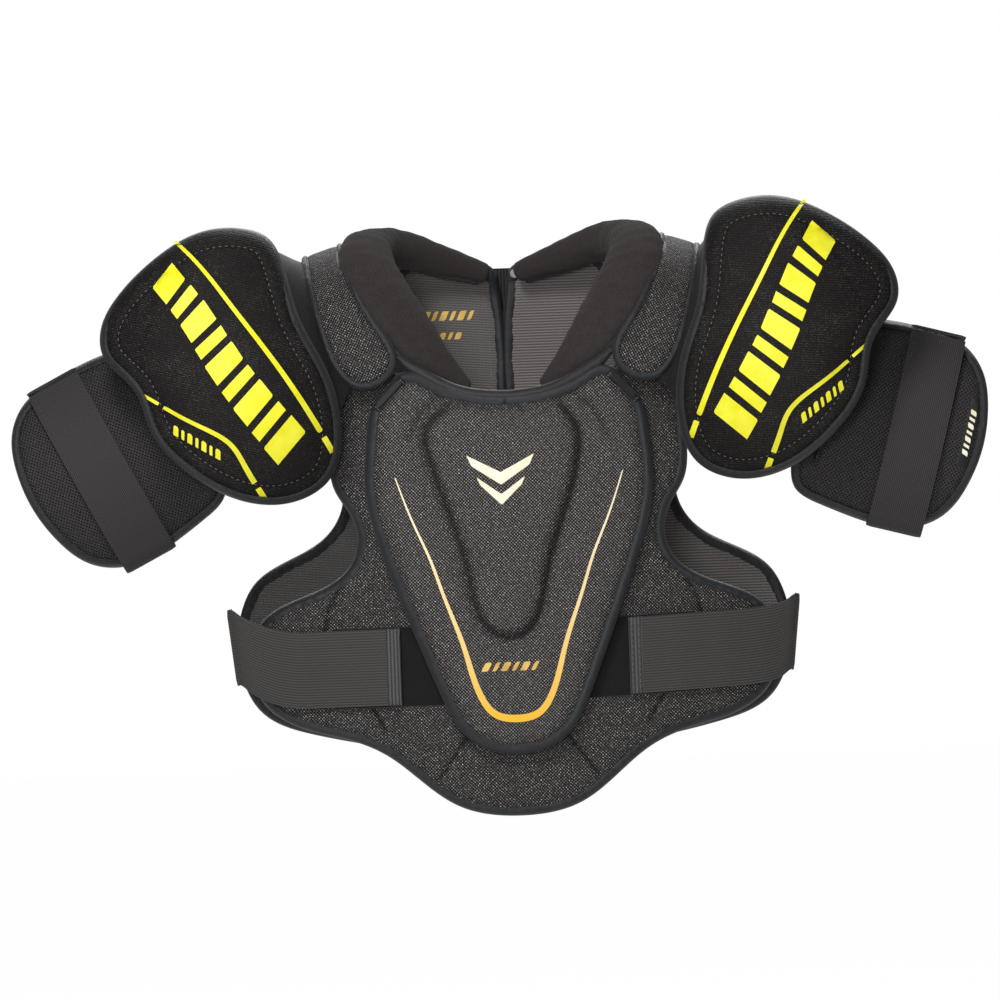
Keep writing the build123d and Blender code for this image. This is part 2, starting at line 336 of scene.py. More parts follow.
# ---- Mesh makers --------------------------------------------------------------------------
SHARP_ANGLE = radians(50)
RIM_ROWS = (0.8, 2.0, 3.6, 5.6, 8.2, 11.2)  # rows of points inside a pad's edge
LINE_ROWS = (0, 1.2, -1.2, 2.6, -2.6, 4.6, -4.6)  # rows of points beside a sewn line
EDGE_GRIP = (3, 9)  # how far inside its edge a pad is held, and free


def make(name, points, faces, cloth, materials, face_slots=None):
    """A smooth-shaded object. cloth holds each point's place on its fabric, in millimetres, and may hold a
    third value, its share of painted shade.
    """
    mesh = bpy.data.meshes.new(name)
    mesh.from_pydata([tuple(p) for p in np.asarray(points) * MM], [], [tuple(f) for f in faces])
    mesh.update()
    obj = bpy.data.objects.new(name, mesh)
    bpy.context.scene.collection.objects.link(obj)
    flat = np.zeros((len(points), 3), np.float32)
    flat[:, :np.asarray(cloth).shape[1]] = cloth
    mesh.attributes.new("cloth", "FLOAT_VECTOR", "POINT").data.foreach_set("vector", flat.ravel())
    for m in materials:
        mesh.materials.append(m)
    if face_slots is not None:
        mesh.polygons.foreach_set("material_index", np.asarray(face_slots, np.int32))
    mesh.polygons.foreach_set("use_smooth", np.ones(len(mesh.polygons), bool))
    bm = bmesh.new()
    bm.from_mesh(mesh)
    bmesh.ops.recalc_face_normals(bm, faces=bm.faces)
    bm.to_mesh(mesh)
    bm.free()
    mesh.set_sharp_from_angle(angle=SHARP_ANGLE)
    return obj


def ring_faces(rings, sides, base=0, closed=False):
    """The skin between rings of points, with flat ends unless it closes on itself."""
    faces = []
    for r in range(rings if closed else rings - 1):
        here, there = base + r * sides, base + (r + 1) % rings * sides
        for k in range(sides):
            q = (k + 1) % sides
            faces.append((here + k, here + q, there + q, there + k))
    if not closed:
        last = base + (rings - 1) * sides
        faces += [tuple(base + k for k in range(sides)), tuple(last + k for k in reversed(range(sides)))]
    return faces


def thinned(groups):
    """Points of several groups, in order, without those too near an earlier one."""
    cell = 8.0
    kept, grid = [], {}
    for points, gap in groups:
        for p in points:
            key = (int(p[0] // cell), int(p[1] // cell))
            cells = ((key[0] + i, key[1] + j) for i in (-1, 0, 1) for j in (-1, 0, 1))
            near = (q for cell in cells for q in grid.get(cell, ()))
            if gap == 0 or all(hypot(p[0] - q[0], p[1] - q[1]) > gap for q in near):
                grid.setdefault(key, []).append(p)
                kept.append(p)
    return np.array(kept)


def triangles(edge, spacing, rows=RIM_ROWS, lines=()):
    """Points and triangles that fill the closed edge, finer along the edge and the given lines."""
    groups = [(edge, 0)]
    for d in rows:
        groups.append((inset_line(edge, d), 0.5 * d if d < 2 else 1.3))
    for line in lines:
        for off in LINE_ROWS:
            moved = line + side_normals(line) * off
            ok = is_inside(moved, edge) & (line_distance(moved, edge) > 1.5)
            groups.append((moved[ok], 0.9))
    low, high = edge.min(0), edge.max(0)
    xs = np.arange(low[0], high[0], spacing)
    zs = np.arange(low[1], high[1], spacing * 0.866)
    grid = np.array([(x + (spacing / 2 if k % 2 else 0), z) for k, z in enumerate(zs) for x in xs])
    grid = grid[is_inside(grid, edge)]
    grid = grid[line_distance(grid, edge) > (rows[-1] + 1 if rows else spacing * 0.6)]
    groups.append((grid, 0.62 * spacing))
    points = thinned(groups)
    n = len(edge)
    border = [(i, (i + 1) % n) for i in range(n)]
    found = delaunay_2d_cdt([Vector(p) for p in points], border, [], 1, 1e-5)
    return np.array([tuple(v) for v in found[0]]), [tuple(f) for f in found[2]]


def pad(name, edge, surface, front, back, materials, lines=(), spacing=4.0, shade=None, swell=0.0,
        pressed=None):
    """A closed pad: front and back are heights from (u, v, distance to the edge).

    shade gives each point's painted shade, 0 to 1, in its creases and seams, and swell how far, in
    millimetres, the cloth simulation may push the filling out between the edge and the sewn lines.
    pressed is 1 where another piece lies on the pad and keeps it flat.
    """
    lines = [spline(line, 2.0, closed=False) for line in lines]
    flat, tris = triangles(edge, spacing, lines=lines)
    u, v = flat.T
    away = line_distance(flat, edge)
    top, low = front(u, v, away), back(u, v, away)
    rim = away < 1e-3
    top[rim] = low[rim] = (top[rim] + low[rim]) / 2
    lower = np.where(rim, np.arange(len(flat)), len(flat) + np.cumsum(~rim) - 1)
    points = np.vstack([surface(u, v, top), surface(u, v, low)[~rim]])
    # Painted shade: the cloth darkens along the pad's edge by the tape, and wherever shade gives more.
    painted_shade = 0.4 * (1 - ease(away, *EDGE_GRIP))
    if shade is not None:
        painted_shade = np.maximum(painted_shade, shade(u, v, away))
    cloth = np.column_stack([flat, painted_shade])
    cloth = np.vstack([cloth, cloth[~rim] * (1, 1, 0)])
    faces = tris + [tuple(lower[i] for i in reversed(f)) for f in tris]
    slots = [0] * len(tris) + [min(1, len(materials) - 1)] * len(tris)
    piece = make(name, points, faces, cloth, materials, slots)
    if swell:
        grip = 1 - ease(away, *EDGE_GRIP)
        if lines:
            grip = np.maximum(grip, groove(u, v, lines, 3.0))
        if pressed is not None:
            grip = np.maximum(grip, pressed(u, v))
        billow(piece, np.concatenate([grip, np.ones((~rim).sum())]), swell)
    return piece


def billow(piece, grip, limit):
    """Swells a filled cover by cloth simulation. grip is 1 where sewing holds a point still."""
    last_frame, pressure = 16, 4.0
    scene, mesh = bpy.context.scene, piece.data

    def places(source):
        flat = np.zeros(len(source.vertices) * 3, np.float32)
        source.vertices.foreach_get("co", flat)
        return flat.reshape(-1, 3)

    start = places(mesh)
    held = piece.vertex_groups.new(name="held")
    for i, weight in enumerate(grip):
        held.add([i], float(weight), "REPLACE")
    modifier = piece.modifiers.new("swell", "CLOTH")
    cloth = modifier.settings
    cloth.quality, cloth.mass, cloth.air_damping = 5, 0.2, 2.0
    cloth.tension_stiffness = cloth.compression_stiffness = 8.0
    cloth.shear_stiffness, cloth.bending_stiffness = 4.0, 0.4
    cloth.use_pressure, cloth.uniform_pressure_force = True, pressure
    cloth.effector_weights.gravity = 0.0
    cloth.vertex_group_mass = "held"
    modifier.point_cache.frame_start, modifier.point_cache.frame_end = 1, last_frame
    for frame_number in range(1, last_frame + 1):
        scene.frame_set(frame_number)
    move = places(piece.evaluated_get(bpy.context.evaluated_depsgraph_get()).to_mesh()) - start
    size = np.linalg.norm(move, axis=1)[:, None] + 1e-12
    most = limit * MM
    move *= most * np.tanh(size / most) / size * (1 - np.asarray(grip)[:, None])
    piece.modifiers.remove(modifier)
    piece.vertex_groups.remove(held)
    mesh.vertices.foreach_set("co", (start + move).astype(np.float32).ravel())
    mesh.update()
    scene.frame_set(1)


def resting(piece, surface, height):
    """The height of a pad's face as the simulation left it, from the height it was built with."""
    above, below = 8, 4
    mesh = piece.data
    tree = BVHTree.FromPolygons([v.co for v in mesh.vertices], [tuple(f.vertices) for f in mesh.polygons])

    def settled(u, v):
        t = np.array(height(u, v), float)
        high, low = surface(u, v, t + above) * MM, surface(u, v, t - below) * MM
        for i, (a, b) in enumerate(zip(high, low)):
            reach = np.linalg.norm(b - a)
            away = tree.ray_cast(Vector(a), Vector((b - a) / reach), reach)[3]
            if away is not None:
                t[i] += above - (above + below) * away / reach
        return t
    return settled


def tape(name, outline, surface, middle, depth, width, material, start=0.0, closed=True):
    """Folded edge tape: a soft oval section carried along the outline, with slight puckers.

    middle is the section's height and depth its thickness. It runs from start to start + width
    inside the outline. An open tape narrows at its ends.
    """
    step, sides, pucker = 2.4, 18, 0.054
    end_length, end_loss = 16, 0.45
    edge = spline(outline, step, closed)
    normal = inward(edge) if closed else side_normals(edge)
    n = len(edge)
    along = np.arange(n) * step
    from_end = np.minimum(along, along[-1] - along)
    narrow = 1 if closed else 1 - end_loss * (1 - ease(from_end, 0, end_length))
    points, cloth = [], []
    for k in range(sides):
        angle = tau * k / sides
        a = start + narrow * width / 2 * (1 + squared(cos(angle), 0.85))
        b = depth / 2 * squared(sin(angle), 0.9)
        swell = 1 + pucker * np.sin(along * 0.9 + 1.3 * np.sin(along * 0.17)) * abs(sin(angle))
        swell = swell + pucker * np.sin(along * 0.23 + 2)
        where = edge + normal * np.broadcast_to(a, n)[:, None]
        points.append(surface(where[:, 0], where[:, 1], middle + b * swell))
        cloth.append(np.stack([along, np.full(n, k * (2 * (width + depth) / sides))], 1))
    points, cloth = np.stack(points, 1).reshape(-1, 3), np.stack(cloth, 1).reshape(-1, 2)
    return make(name, points, ring_faces(n, sides, closed=closed), cloth, [material])


def tube(name, route, radius, material):
    """A round-ended roll along a 3D line. radius is a function of the share of the way."""
    step, sides, rounding, bulge, smallest = 3.0, 14, 5, 0.8, 0.02
    line = spline(route, step, closed=False)
    tangent = unit(np.gradient(line, axis=0))
    side, turned = np.cross(tangent[0], (0, 0, 1.0)), []
    for t in tangent:  # the side direction is carried along without twist
        side = unit(side - t * np.dot(side, t))
        turned.append(side)
    turned = np.array(turned)
    up = np.cross(tangent, turned)
    n = len(line)
    share = np.linspace(0, 1, n)
    size = radius(share)
    quarter = [pi / 2 * k / rounding for k in range(1, rounding + 1)]
    rows = [(0, -sin(a) * size[0] * bulge, cos(a)) for a in reversed(quarter)]
    rows += [(i, 0.0, 1.0) for i in range(n)]
    rows += [(n - 1, sin(a) * size[-1] * bulge, cos(a)) for a in quarter]
    points, cloth = [], []
    for i, push, shrink in rows:
        for k in range(sides):
            a = tau * k / sides
            offset = (turned[i] * cos(a) + up[i] * sin(a)) * size[i]
            points.append(line[i] + tangent[i] * push + offset * max(shrink, smallest))
            cloth.append((share[i] * n * step + push, k * tau * size.max() / sides))
    return make(name, points, ring_faces(len(rows), sides), cloth, [material])


def ribbon(name, line, across, width, material, lift):
    """A flat band: line is its middle in 3D, across its width direction at each point."""
    thick, rows, edge_share, edge_loss = 2.0, 12, 0.06, 0.45
    n = len(line)
    out = unit(np.cross(np.gradient(line, axis=0), across))
    along = lengths(line)
    shares = np.linspace(-1, 1, rows + 1)
    section = [(w, thick / 2) for w in shares] + [(w, -thick / 2) for w in reversed(shares)]
    points, cloth = [], []
    for w, face in section:
        aside = w * width / 2
        in_edge = max(0, abs(w) - (1 - edge_share)) / edge_share
        height = face * (1 - in_edge * edge_loss) + lift(along, aside)
        points.append(line + across * aside + out * height[:, None])
        cloth.append(np.stack([along, np.full(n, aside)], 1))
    points, cloth = np.stack(points, 1).reshape(-1, 3), np.stack(cloth, 1).reshape(-1, 2)
    return make(name, points, ring_faces(n, len(section)), cloth, [material])


# A stitch's rings of points: share of its length, share of its radius, and height in radii.
STITCH_RINGS = (
    (0, 0.25, -1.3), (0.12, 0.8, -0.5), (0.35, 1, 0.35),
    (0.65, 1, 0.35), (0.88, 0.8, -0.5), (1, 0.25, -1.3),
)


def stitch_row(name, line, up, material, length=2.6, gap=1.3, radius=0.26, closed=False):
    """A row of thread stitches along a 3D line; up is the surface's normal at each point."""
    sides, flatter, look = 6, 1.25, 0.4
    if closed:
        line, up = np.vstack([line, line[:1]]), np.vstack([up, up[:1]])
    along = lengths(line)
    points, faces, cloth = [], [], []
    for start in np.arange(0, along[-1] - length, length + gap):
        faces += ring_faces(len(STITCH_RINGS), sides, len(points))
        for share, size, lift in STITCH_RINGS:
            at = start + share * length
            centre, ahead, behind = picked(line, along, [at, at + look, at - look])
            normal = unit(picked(up, along, at))
            run = ahead - behind
            side = np.cross(run / (np.linalg.norm(run) + 1e-9), normal) * flatter
            for k in range(sides):
                a = tau * k / sides
                points.append(centre + radius * (normal * (lift + sin(a) * size) + side * cos(a) * size))
                cloth.append((at, k * radius))
    return make(name, points, faces, cloth, [material])


def on_surface(line, surface, height):
    """A 2D line's points on a surface, and the surface's normals there."""
    u, v = line.T
    t = height(u, v) if callable(height) else np.full(len(u), float(height))
    here = surface(u, v, t)
    normal = unit(np.cross(surface(u + 0.5, v, t) - here, surface(u, v + 0.5, t) - here))
    above = surface(u, v, t + 0.5) - here
    return here, normal * np.sign(np.sum(normal * above, 1))[:, None]


def decal(name, shapes, surface, height, material):
    """Raised print: each closed shape becomes a thin slab that follows the surface."""
    lift, sink, step, spacing = 0.25, 0.3, 2.0, 3.0
    points, faces, cloth = [], [], []
    for shape in shapes:
        corners = np.array(shape, float)
        edge = resample(np.vstack([corners, corners[:1]]), step, closed=True)
        flat, tris = triangles(edge, spacing, rows=())
        u, v = flat.T
        t = height(u, v)
        base, n = len(points), len(flat)
        points += list(surface(u, v, t + lift)) + list(surface(u, v, t - sink))
        cloth += list(flat) * 2
        faces += [tuple(base + i for i in f) for f in tris]
        faces += [tuple(base + n + i for i in reversed(f)) for f in tris]
        sides = {(a, b) for f in tris for a, b in zip(f, f[1:] + f[:1])}
        rim = [(base + a, base + b) for a, b in sorted(sides) if (b, a) not in sides]
        faces += [(b, a, n + a, n + b) for a, b in rim]
    return make(name, np.array(points), faces, np.array(cloth), [material])


# ---- Materials ----------------------------------------------------------------------------
def dyed(colour, share=1.0):
    """A display colour, 0 to 255, times share, as the shader's linear colour."""
    shown = [c * share / 255 for c in colour]
    return (*(c / 12.92 if c <= 0.04045 else ((c + 0.055) / 1.055) ** 2.4 for c in shown), 1.0)


class Finish:
    """One material, with short ways to add the nodes of its weave."""

    def __init__(self, name, **sockets):
        self.material = bpy.data.materials.new(name)
        self.material.use_nodes = True
        self.tree = self.material.node_tree
        self.shader = self.tree.nodes["Principled BSDF"]
        for socket, value in sockets.items():
            self.shader.inputs[socket.replace("_", " ")].default_value = value
        self.place = self.add("ShaderNodeAttribute", attribute_name="cloth", out="Vector")
        split = self.tree.nodes.new("ShaderNodeSeparateXYZ")
        self.tree.links.new(self.place, split.inputs[0])
        self.u, self.v, self.painted_shade = split.outputs

    def add(self, kind, inputs=None, out=0, **settings):
        node = self.tree.nodes.new(kind)
        for key, value in settings.items():
            setattr(node, key, value)
        for key, value in (inputs or {}).items():
            if isinstance(value, bpy.types.NodeSocket):
                self.tree.links.new(value, node.inputs[key])
            else:
                node.inputs[key].default_value = value
        return node.outputs[out]

    def math(self, operation, *values):
        return self.add("ShaderNodeMath", dict(enumerate(values)), operation=operation)

    def wave(self, along, pitch, phase=0.0):
        """0 to 1 and back once every pitch."""
        turn = self.math("MULTIPLY_ADD", along, tau / pitch, phase)
        return self.math("MULTIPLY_ADD", self.math("SINE", turn), 0.5, 0.5)

    def diagonals(self, pitch, shift=None):
        """Two waves that cross, each at 45 degrees to the cloth."""
        rising, falling = self.math("ADD", self.u, self.v), self.math("SUBTRACT", self.u, self.v)
        if shift is not None:
            rising, falling = self.math("ADD", rising, shift), self.math("ADD", falling, shift)
        return self.wave(rising, pitch), self.wave(falling, pitch)

    def noise(self, size, detail=2.0, stretch=(1, 1, 1), rough=0.5):
        """Uneven spots about size millimetres across."""
        scaled = self.add("ShaderNodeVectorMath", {0: self.place, 1: stretch}, operation="MULTIPLY")
        return self.add("ShaderNodeTexNoise",
                        {"Vector": scaled, "Scale": 1 / size, "Detail": detail, "Roughness": rough})

    def mix(self, share, low, high):
        return self.add("ShaderNodeMix", {0: share, 6: low, 7: high}, out=2, data_type="RGBA")

    def ramp(self, value, low, high):
        return self.add("ShaderNodeMapRange", {0: value, 1: low, 2: high})

    def blended(self, a, share, b):
        """a plus that share of b."""
        return self.math("ADD", a, self.math("MULTIPLY", b, share))

    def colour(self, socket):
        """Sets the base colour, mixed towards near black by painted shade, which the cloth's third value
        gives for creases, seams and pad edges.
        """
        with_painted_shade = self.mix(self.math("MULTIPLY", self.painted_shade, PAINTED_SHADE_MOST), socket, PAINTED_SHADE_COLOUR)
        self.tree.links.new(with_painted_shade, self.shader.inputs["Base Color"])

    def rough(self, socket):
        self.tree.links.new(socket, self.shader.inputs["Roughness"])

    def bump(self, height, depth, strength=1.0):
        """Raises the surface by depth millimetres where height is 1."""
        inputs = {"Height": height, "Strength": strength, "Distance": depth * MM}
        normal = self.add("ShaderNodeBump", inputs)
        self.tree.links.new(normal, self.shader.inputs["Normal"])


HOLE = (8, 8, 8)  # the colour of the gaps between threads
PAINTED_SHADE_COLOUR, PAINTED_SHADE_MOST = (0.002, 0.002, 0.002, 1.0), 0.8  # the linear colour of the darkest painted shade, and the largest share of it mixed in


def woven_mesh(name, strand):
    """Open diamond weave: raised strands around small dark holes, with bright flecks painted in as glints.
    """
    f = Finish(name, Roughness=0.6, Specular_IOR_Level=0.16, Sheen_Weight=0.02)
    one, two = f.diagonals(2.25, f.math("MULTIPLY", f.noise(1.3, 1.0), 0.9))
    height = f.math("MAXIMUM", f.math("MULTIPLY", one, two), f.math("MULTIPLY", one, 0.16))
    raised = f.ramp(height, 0.06, 0.5)
    fibre = f.noise(0.42, 2.0, (1.0, 1.5, 1), 0.75)
    broad = f.ramp(f.noise(26, 3.0), 0.3, 0.7)
    spark = f.noise(0.95, 2.0, (1.0, 1.3, 1), 0.7)
    # Painted glints: the strands turn near white where the fine noise peaks.
    painted_glint = f.ramp(f.math("MULTIPLY_ADD", broad, 0.05, spark), 0.57, 0.7)
    base = f.mix(raised, dyed(HOLE), f.mix(painted_glint, dyed(strand), dyed((255, 250, 246))))
    f.colour(f.mix(f.math("MULTIPLY", broad, 0.3), base, dyed(HOLE)))
    f.bump(f.blended(raised, 0.6, fibre), 0.4)
    return f.material


def cap_knit(name, rib, fleck, hole=HOLE):
    """Fine crosswise ribs with short bright flecks: painted glints on the fibres."""
    f = Finish(name, Roughness=0.55, Specular_IOR_Level=0.12, Sheen_Weight=0.02)
    ribs = f.wave(f.math("ADD", f.v, f.math("MULTIPLY", f.noise(3.0, 1.0), 0.5)), 1.15)
    beads = f.wave(f.u, 0.95)
    height = f.math("MULTIPLY", ribs, f.math("MULTIPLY_ADD", beads, 0.45, 0.55))
    fibre = f.noise(0.5, 2.0, (0.55, 1.6, 1), 0.7)
    broad = f.ramp(f.noise(30, 3.0), 0.35, 0.7)
    # Painted glints: the rib colour turns to the fleck colour where the fibre noise peaks.
    lit = f.mix(f.ramp(f.math("MULTIPLY_ADD", broad, 0.07, fibre), 0.63, 0.76), dyed(rib), dyed(fleck))
    f.colour(f.mix(f.ramp(height, 0.1, 0.75), dyed(hole), lit))
    f.bump(f.blended(height, 0.4, fibre), 0.28, 0.85)
    return f.material


def air_mesh(name):
    """Spacer knit with rows of small oval holes."""
    row_pitch, hole_pitch = 1.5, 2.6
    f = Finish(name, Roughness=0.6, Specular_IOR_Level=0.12, Sheen_Weight=0.02)
    row = f.math("FLOOR", f.math("DIVIDE", f.v, row_pitch))
    shift = f.math("MULTIPLY", f.math("MODULO", row, 2.0), pi)
    across = f.wave(f.u, hole_pitch, shift)
    along = f.math("ABSOLUTE", f.math("SINE", f.math("MULTIPLY", f.v, pi / row_pitch)))
    height = f.math("SUBTRACT", 1.0, f.math("MULTIPLY", across, along))
    fibre = f.noise(0.5, 2.0, (1, 1, 1), 0.7)
    # Painted glints: the fibres turn light where their noise peaks.
    lit = f.mix(f.ramp(fibre, 0.6, 0.76), dyed((50, 48, 48)), dyed((160, 155, 152)))
    f.colour(f.mix(f.ramp(height, 0.25, 0.6), dyed((9, 9, 9)), lit))
    f.bump(f.blended(f.ramp(height, 0.2, 0.7), 0.35, fibre), 0.4, 0.9)
    return f.material


def edge_tape(name, base):
    """Smooth folded tape with a very fine twill."""
    f = Finish(name, Roughness=0.42, Specular_IOR_Level=0.36, Sheen_Weight=0.05)
    twill = f.wave(f.math("ADD", f.u, f.v), 0.75)
    wear = f.noise(9, 3.0, (1, 3, 1))
    share = f.math("MULTIPLY_ADD", twill, 0.45, f.math("MULTIPLY", wear, 0.55))
    f.colour(f.mix(share, dyed(base, 0.62), dyed(base, 1.22)))
    f.rough(f.math("MULTIPLY_ADD", wear, 0.2, 0.36))
    f.bump(f.blended(twill, 2.0, f.noise(5, 2.0, (1, 2.5, 1))), 0.09, 0.8)
    return f.material


def brushed(name, base, depth, size, sheen):
    """Short brushed pile."""
    f = Finish(name, Roughness=0.92, Specular_IOR_Level=0.05, Sheen_Weight=sheen, Sheen_Roughness=0.6)
    pile, clumps = f.noise(size, 4.0, (1, 1, 1), 0.75), f.noise(size * 7, 3.0)
    both = f.math("MULTIPLY_ADD", pile, 0.85, f.math("MULTIPLY", clumps, 0.15))
    f.colour(f.mix(f.ramp(both, 0.3, 0.7), dyed(base, 0.55), dyed(base, 1.4)))
    f.bump(both, depth)
    return f.material


def ribbed(name, pitch, base, depth=0.4, spark=0.3, contrast=1.0, lengthwise=True):
    """Woven elastic, with its cords along u, or across it."""
    f = Finish(name, Roughness=0.66, Specular_IOR_Level=0.15, Sheen_Weight=0.02)
    across, along = (f.v, f.u) if lengthwise else (f.u, f.v)
    fine = f.math("MULTIPLY_ADD", f.wave(along, 0.8), 0.35, 0.65)
    height = f.math("MULTIPLY", f.wave(across, pitch), fine)
    fibre = f.noise(0.5, 2.0, (1, 1, 1), 0.7)
    # Painted light and shade: rib tops lighter, the grooves darker, and painted glints where the fibre
    # noise peaks.
    lit = f.math("MULTIPLY_ADD", fibre, spark, f.math("MULTIPLY", height, 0.8))
    dark, bright = dyed(base, 1 - 0.64 * contrast), dyed(base, 1 + 0.5 * contrast)
    f.colour(f.mix(f.ramp(lit, 0.1, 0.95), dark, bright))
    f.bump(f.blended(height, 0.3, fibre), depth, 0.9)
    return f.material


def print_ink(name, low, high, span=None):
    """Flexible raised print over cloth. span is where along v it turns from low to high."""
    f = Finish(name, Roughness=0.38, Specular_IOR_Level=0.45)
    weave = f.math("MULTIPLY", *f.diagonals(1.6))
    share = f.ramp(f.v, *span) if span else f.ramp(f.noise(14, 2.0), 0.35, 0.65)
    f.colour(f.mix(f.math("MULTIPLY", weave, 0.16), f.mix(share, dyed(low), dyed(high)), dyed(low, 0.72)))
    f.rough(f.math("MULTIPLY_ADD", f.noise(2.5, 2.0), 0.25, 0.28))
    f.bump(weave, 0.16, 0.7)
    return f.material


def thread(name, base):
    """Twisted sewing thread."""
    f = Finish(name, Roughness=0.5, Specular_IOR_Level=0.35, Sheen_Weight=0.2)
    twist = f.wave(f.math("MULTIPLY_ADD", f.v, 1.6, f.u), 0.5)
    f.colour(f.mix(twist, dyed(base, 0.7), dyed(base)))
    f.bump(twist, 0.06, 0.8)
    return f.material


def moulded(name, base, metal, rough):
    """Moulded or pressed hard piece: the frame's own nodes carry no cloth places."""
    f = Finish(name, Roughness=rough, Metallic=metal, Specular_IOR_Level=0.5)
    where = f.add("ShaderNodeTexCoord", out="Object")
    grain = f.add("ShaderNodeTexNoise", {"Vector": where, "Scale": 900.0, "Detail": 3.0})
    f.colour(f.mix(grain, dyed(base, 0.8), dyed(base)))
    f.rough(f.math("MULTIPLY_ADD", grain, 0.2, rough - 0.1))
    f.bump(grain, 0.05, 0.5)
    return f.material


MESH = woven_mesh("woven_mesh", (92, 88, 87))
SHIELD_MESH = woven_mesh("shield_mesh", (122, 117, 116))
KNIT = cap_knit("cap_knit", (38, 35, 34), (165, 158, 153))
AIR = air_mesh("air_mesh")
TAPE = edge_tape("edge_tape", (34, 35, 38))
TAPE_DARK = edge_tape("edge_tape_dark", (24, 25, 27))
FLEECE = brushed("fleece", (50, 46, 45), depth=0.5, size=0.7, sheen=0.05)
FUZZ = brushed("loop_pile", (17, 16, 16), depth=0.5, size=0.7, sheen=0.2)
HOOK = brushed("hook_field", (20, 20, 20), depth=0.5, size=0.5, sheen=0.05)
ELASTIC = ribbed("waist_elastic", 1.85, (58, 56, 55), depth=0.13, spark=0.7, contrast=0.6)
HEM = ribbed("strap_hem", 2.4, (76, 76, 77), depth=0.2, spark=0.6, contrast=0.8, lengthwise=False)
ARM_ELASTIC = ribbed("arm_elastic", 1.3, (48, 46, 46), depth=0.15, spark=0.7, contrast=0.7)
RIBBED_LINER = ribbed("ribbed_liner", 1.95, (92, 88, 87), spark=0.6, contrast=0.8)
PLAIN_LINER = cap_knit("plain_liner", (124, 120, 118), (200, 195, 190), hole=(60, 58, 58))
GUSSET = ribbed("gusset_elastic", 2.2, (40, 38, 38), lengthwise=False)
YELLOW = print_ink("print_yellow", (244, 236, 18), (252, 248, 60))
TRIM = print_ink("print_gold_fade", (246, 190, 30), (252, 240, 200), span=(-318.0, -180.0))
CREAM = print_ink("print_cream", (244, 232, 196), (252, 246, 222))
GOLD = print_ink("print_gold", (206, 160, 62), (232, 194, 100))
THREAD = thread("thread_grey", (118, 114, 110))
THREAD_DARK = thread("thread_dark", (50, 49, 49))
PLASTIC = moulded("moulded_shell", (40, 42, 45), metal=0.0, rough=0.35)
STEEL = moulded("snap_steel", (120, 120, 122), metal=1.0, rough=0.5)


# ---- Putting pieces on bodies -------------------------------------------------------------
def put(piece, body, replaced=()):
    """Body is a name to attach the piece to, or (body a, body b, start, end), for which the piece's place
    is only baked into its mesh, unattached.
    """
    if isinstance(body, str):
        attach(piece, body)
    else:
        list(body)
        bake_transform(piece)
    if replaced:
        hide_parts(*replaced)


def slab(name, body, edge, surface, low, high, material, replaced=(), spacing=4):
    """A thin piece between two heights of a surface."""
    piece = pad(name, edge, surface, lambda u, v, d: high + 0 * u, lambda u, v, d: low + 0 * u,
                [material], spacing=spacing)
    put(piece, body, replaced)


def sew(name, body, line, surface, height, material, below=False, **size):
    """A row of stitches along a line on a surface, or on its underside."""
    here, up = on_surface(line, surface, height)
    put(stitch_row(name, here, -up if below else up, material, **size), body)


def printed(name, body, shapes, surface, height, ink):
    put(decal(name, shapes, surface, height, ink), body)


def edging(name, body, outline, surface, middle, depth, width, sunk=0.0):
    """The tape round a pad's edge, with its row of stitches. sunk turns its upper run under the pad."""
    def dipped(u, v, t):
        return surface(u, v, t - sunk * ease(v, 5, 40))

    piece = tape(f"{name}_edging", outline, dipped, middle, depth, width, TAPE)
    put(piece, body, (f"{name}_binding",))
    seam_share, face_share = 0.74, 0.93  # of the tape's width, and of its half depth
    line = inset_line(spline(outline, 2.0), seam_share * width)
    face = middle + face_share * depth / 2
    sew(f"{name}_edge_stitches", body, line, dipped, face, THREAD_DARK, closed=True)


def box_outline(x0, z0, x1, z1, radius=2.0):
    """A rectangle with rounded corners."""
    points = []
    for cx, cz, turn in ((x1 - radius, z1 - radius, 0), (x0 + radius, z1 - radius, 90),
                         (x0 + radius, z0 + radius, 180), (x1 - radius, z0 + radius, 270)):
        for k in range(4):
            a = radians(turn + 30 * k)
            points.append((cx + radius * cos(a), cz + radius * sin(a)))
    return resample(np.array(points + points[:1]), 2.5, closed=True)


def strip(line, widths):
    """The closed outline of a stripe along a line, its width changing evenly between the given ones."""
    along = lengths(line)
    half = np.interp(along / along[-1], np.linspace(0, 1, len(widths)), widths)[:, None] / 2
    side = side_normals(line)
    return np.vstack([line + side * half, (line - side * half)[::-1]])


def bars(centre, count, pitch, width, height, lean, turn=0.0):
    """A row of slanted bars about a centre: the generic stand-in for a printed name."""
    narrow = 0.6  # every second bar's share of the width
    c, s = cos(radians(turn)), sin(radians(turn))
    shapes = []
    for i in range(count):
        x0 = (i - (count - 1) / 2) * pitch
        w = width * (1.0 if i % 2 == 0 else narrow)
        corners = [(-w / 2 - lean, -height / 2), (w / 2 - lean, -height / 2),
                   (w / 2 + lean, height / 2), (-w / 2 + lean, height / 2)]
        placed = [(x0 + x, z) for x, z in corners]
        shapes.append([(centre[0] + x * c - z * s, centre[1] + x * s + z * c) for x, z in placed])
    return shapes


# ---- Chest pad ----------------------------------------------------------------------------
CHEST = mirrored(CHEST_HALF)
NECK_HALF = [(72.5, -69), (67, -72.8), (60, -77), (51, -82.4), (30, -92.5), (14, -95.6), (0, -96.4)]
CHEST_SEAMS = [
    flipped(seam, side)
    for seam in ([(103, -300), (97, -311), (89, -325)], [(34, -330), (43, -343), (54, -358)],
                 [(118, -226), (127, -244), (130, -262)])
    for side in (1, -1)
]


def waist_mid(x, side):
    return np.interp(x, *WAIST_MID[side])


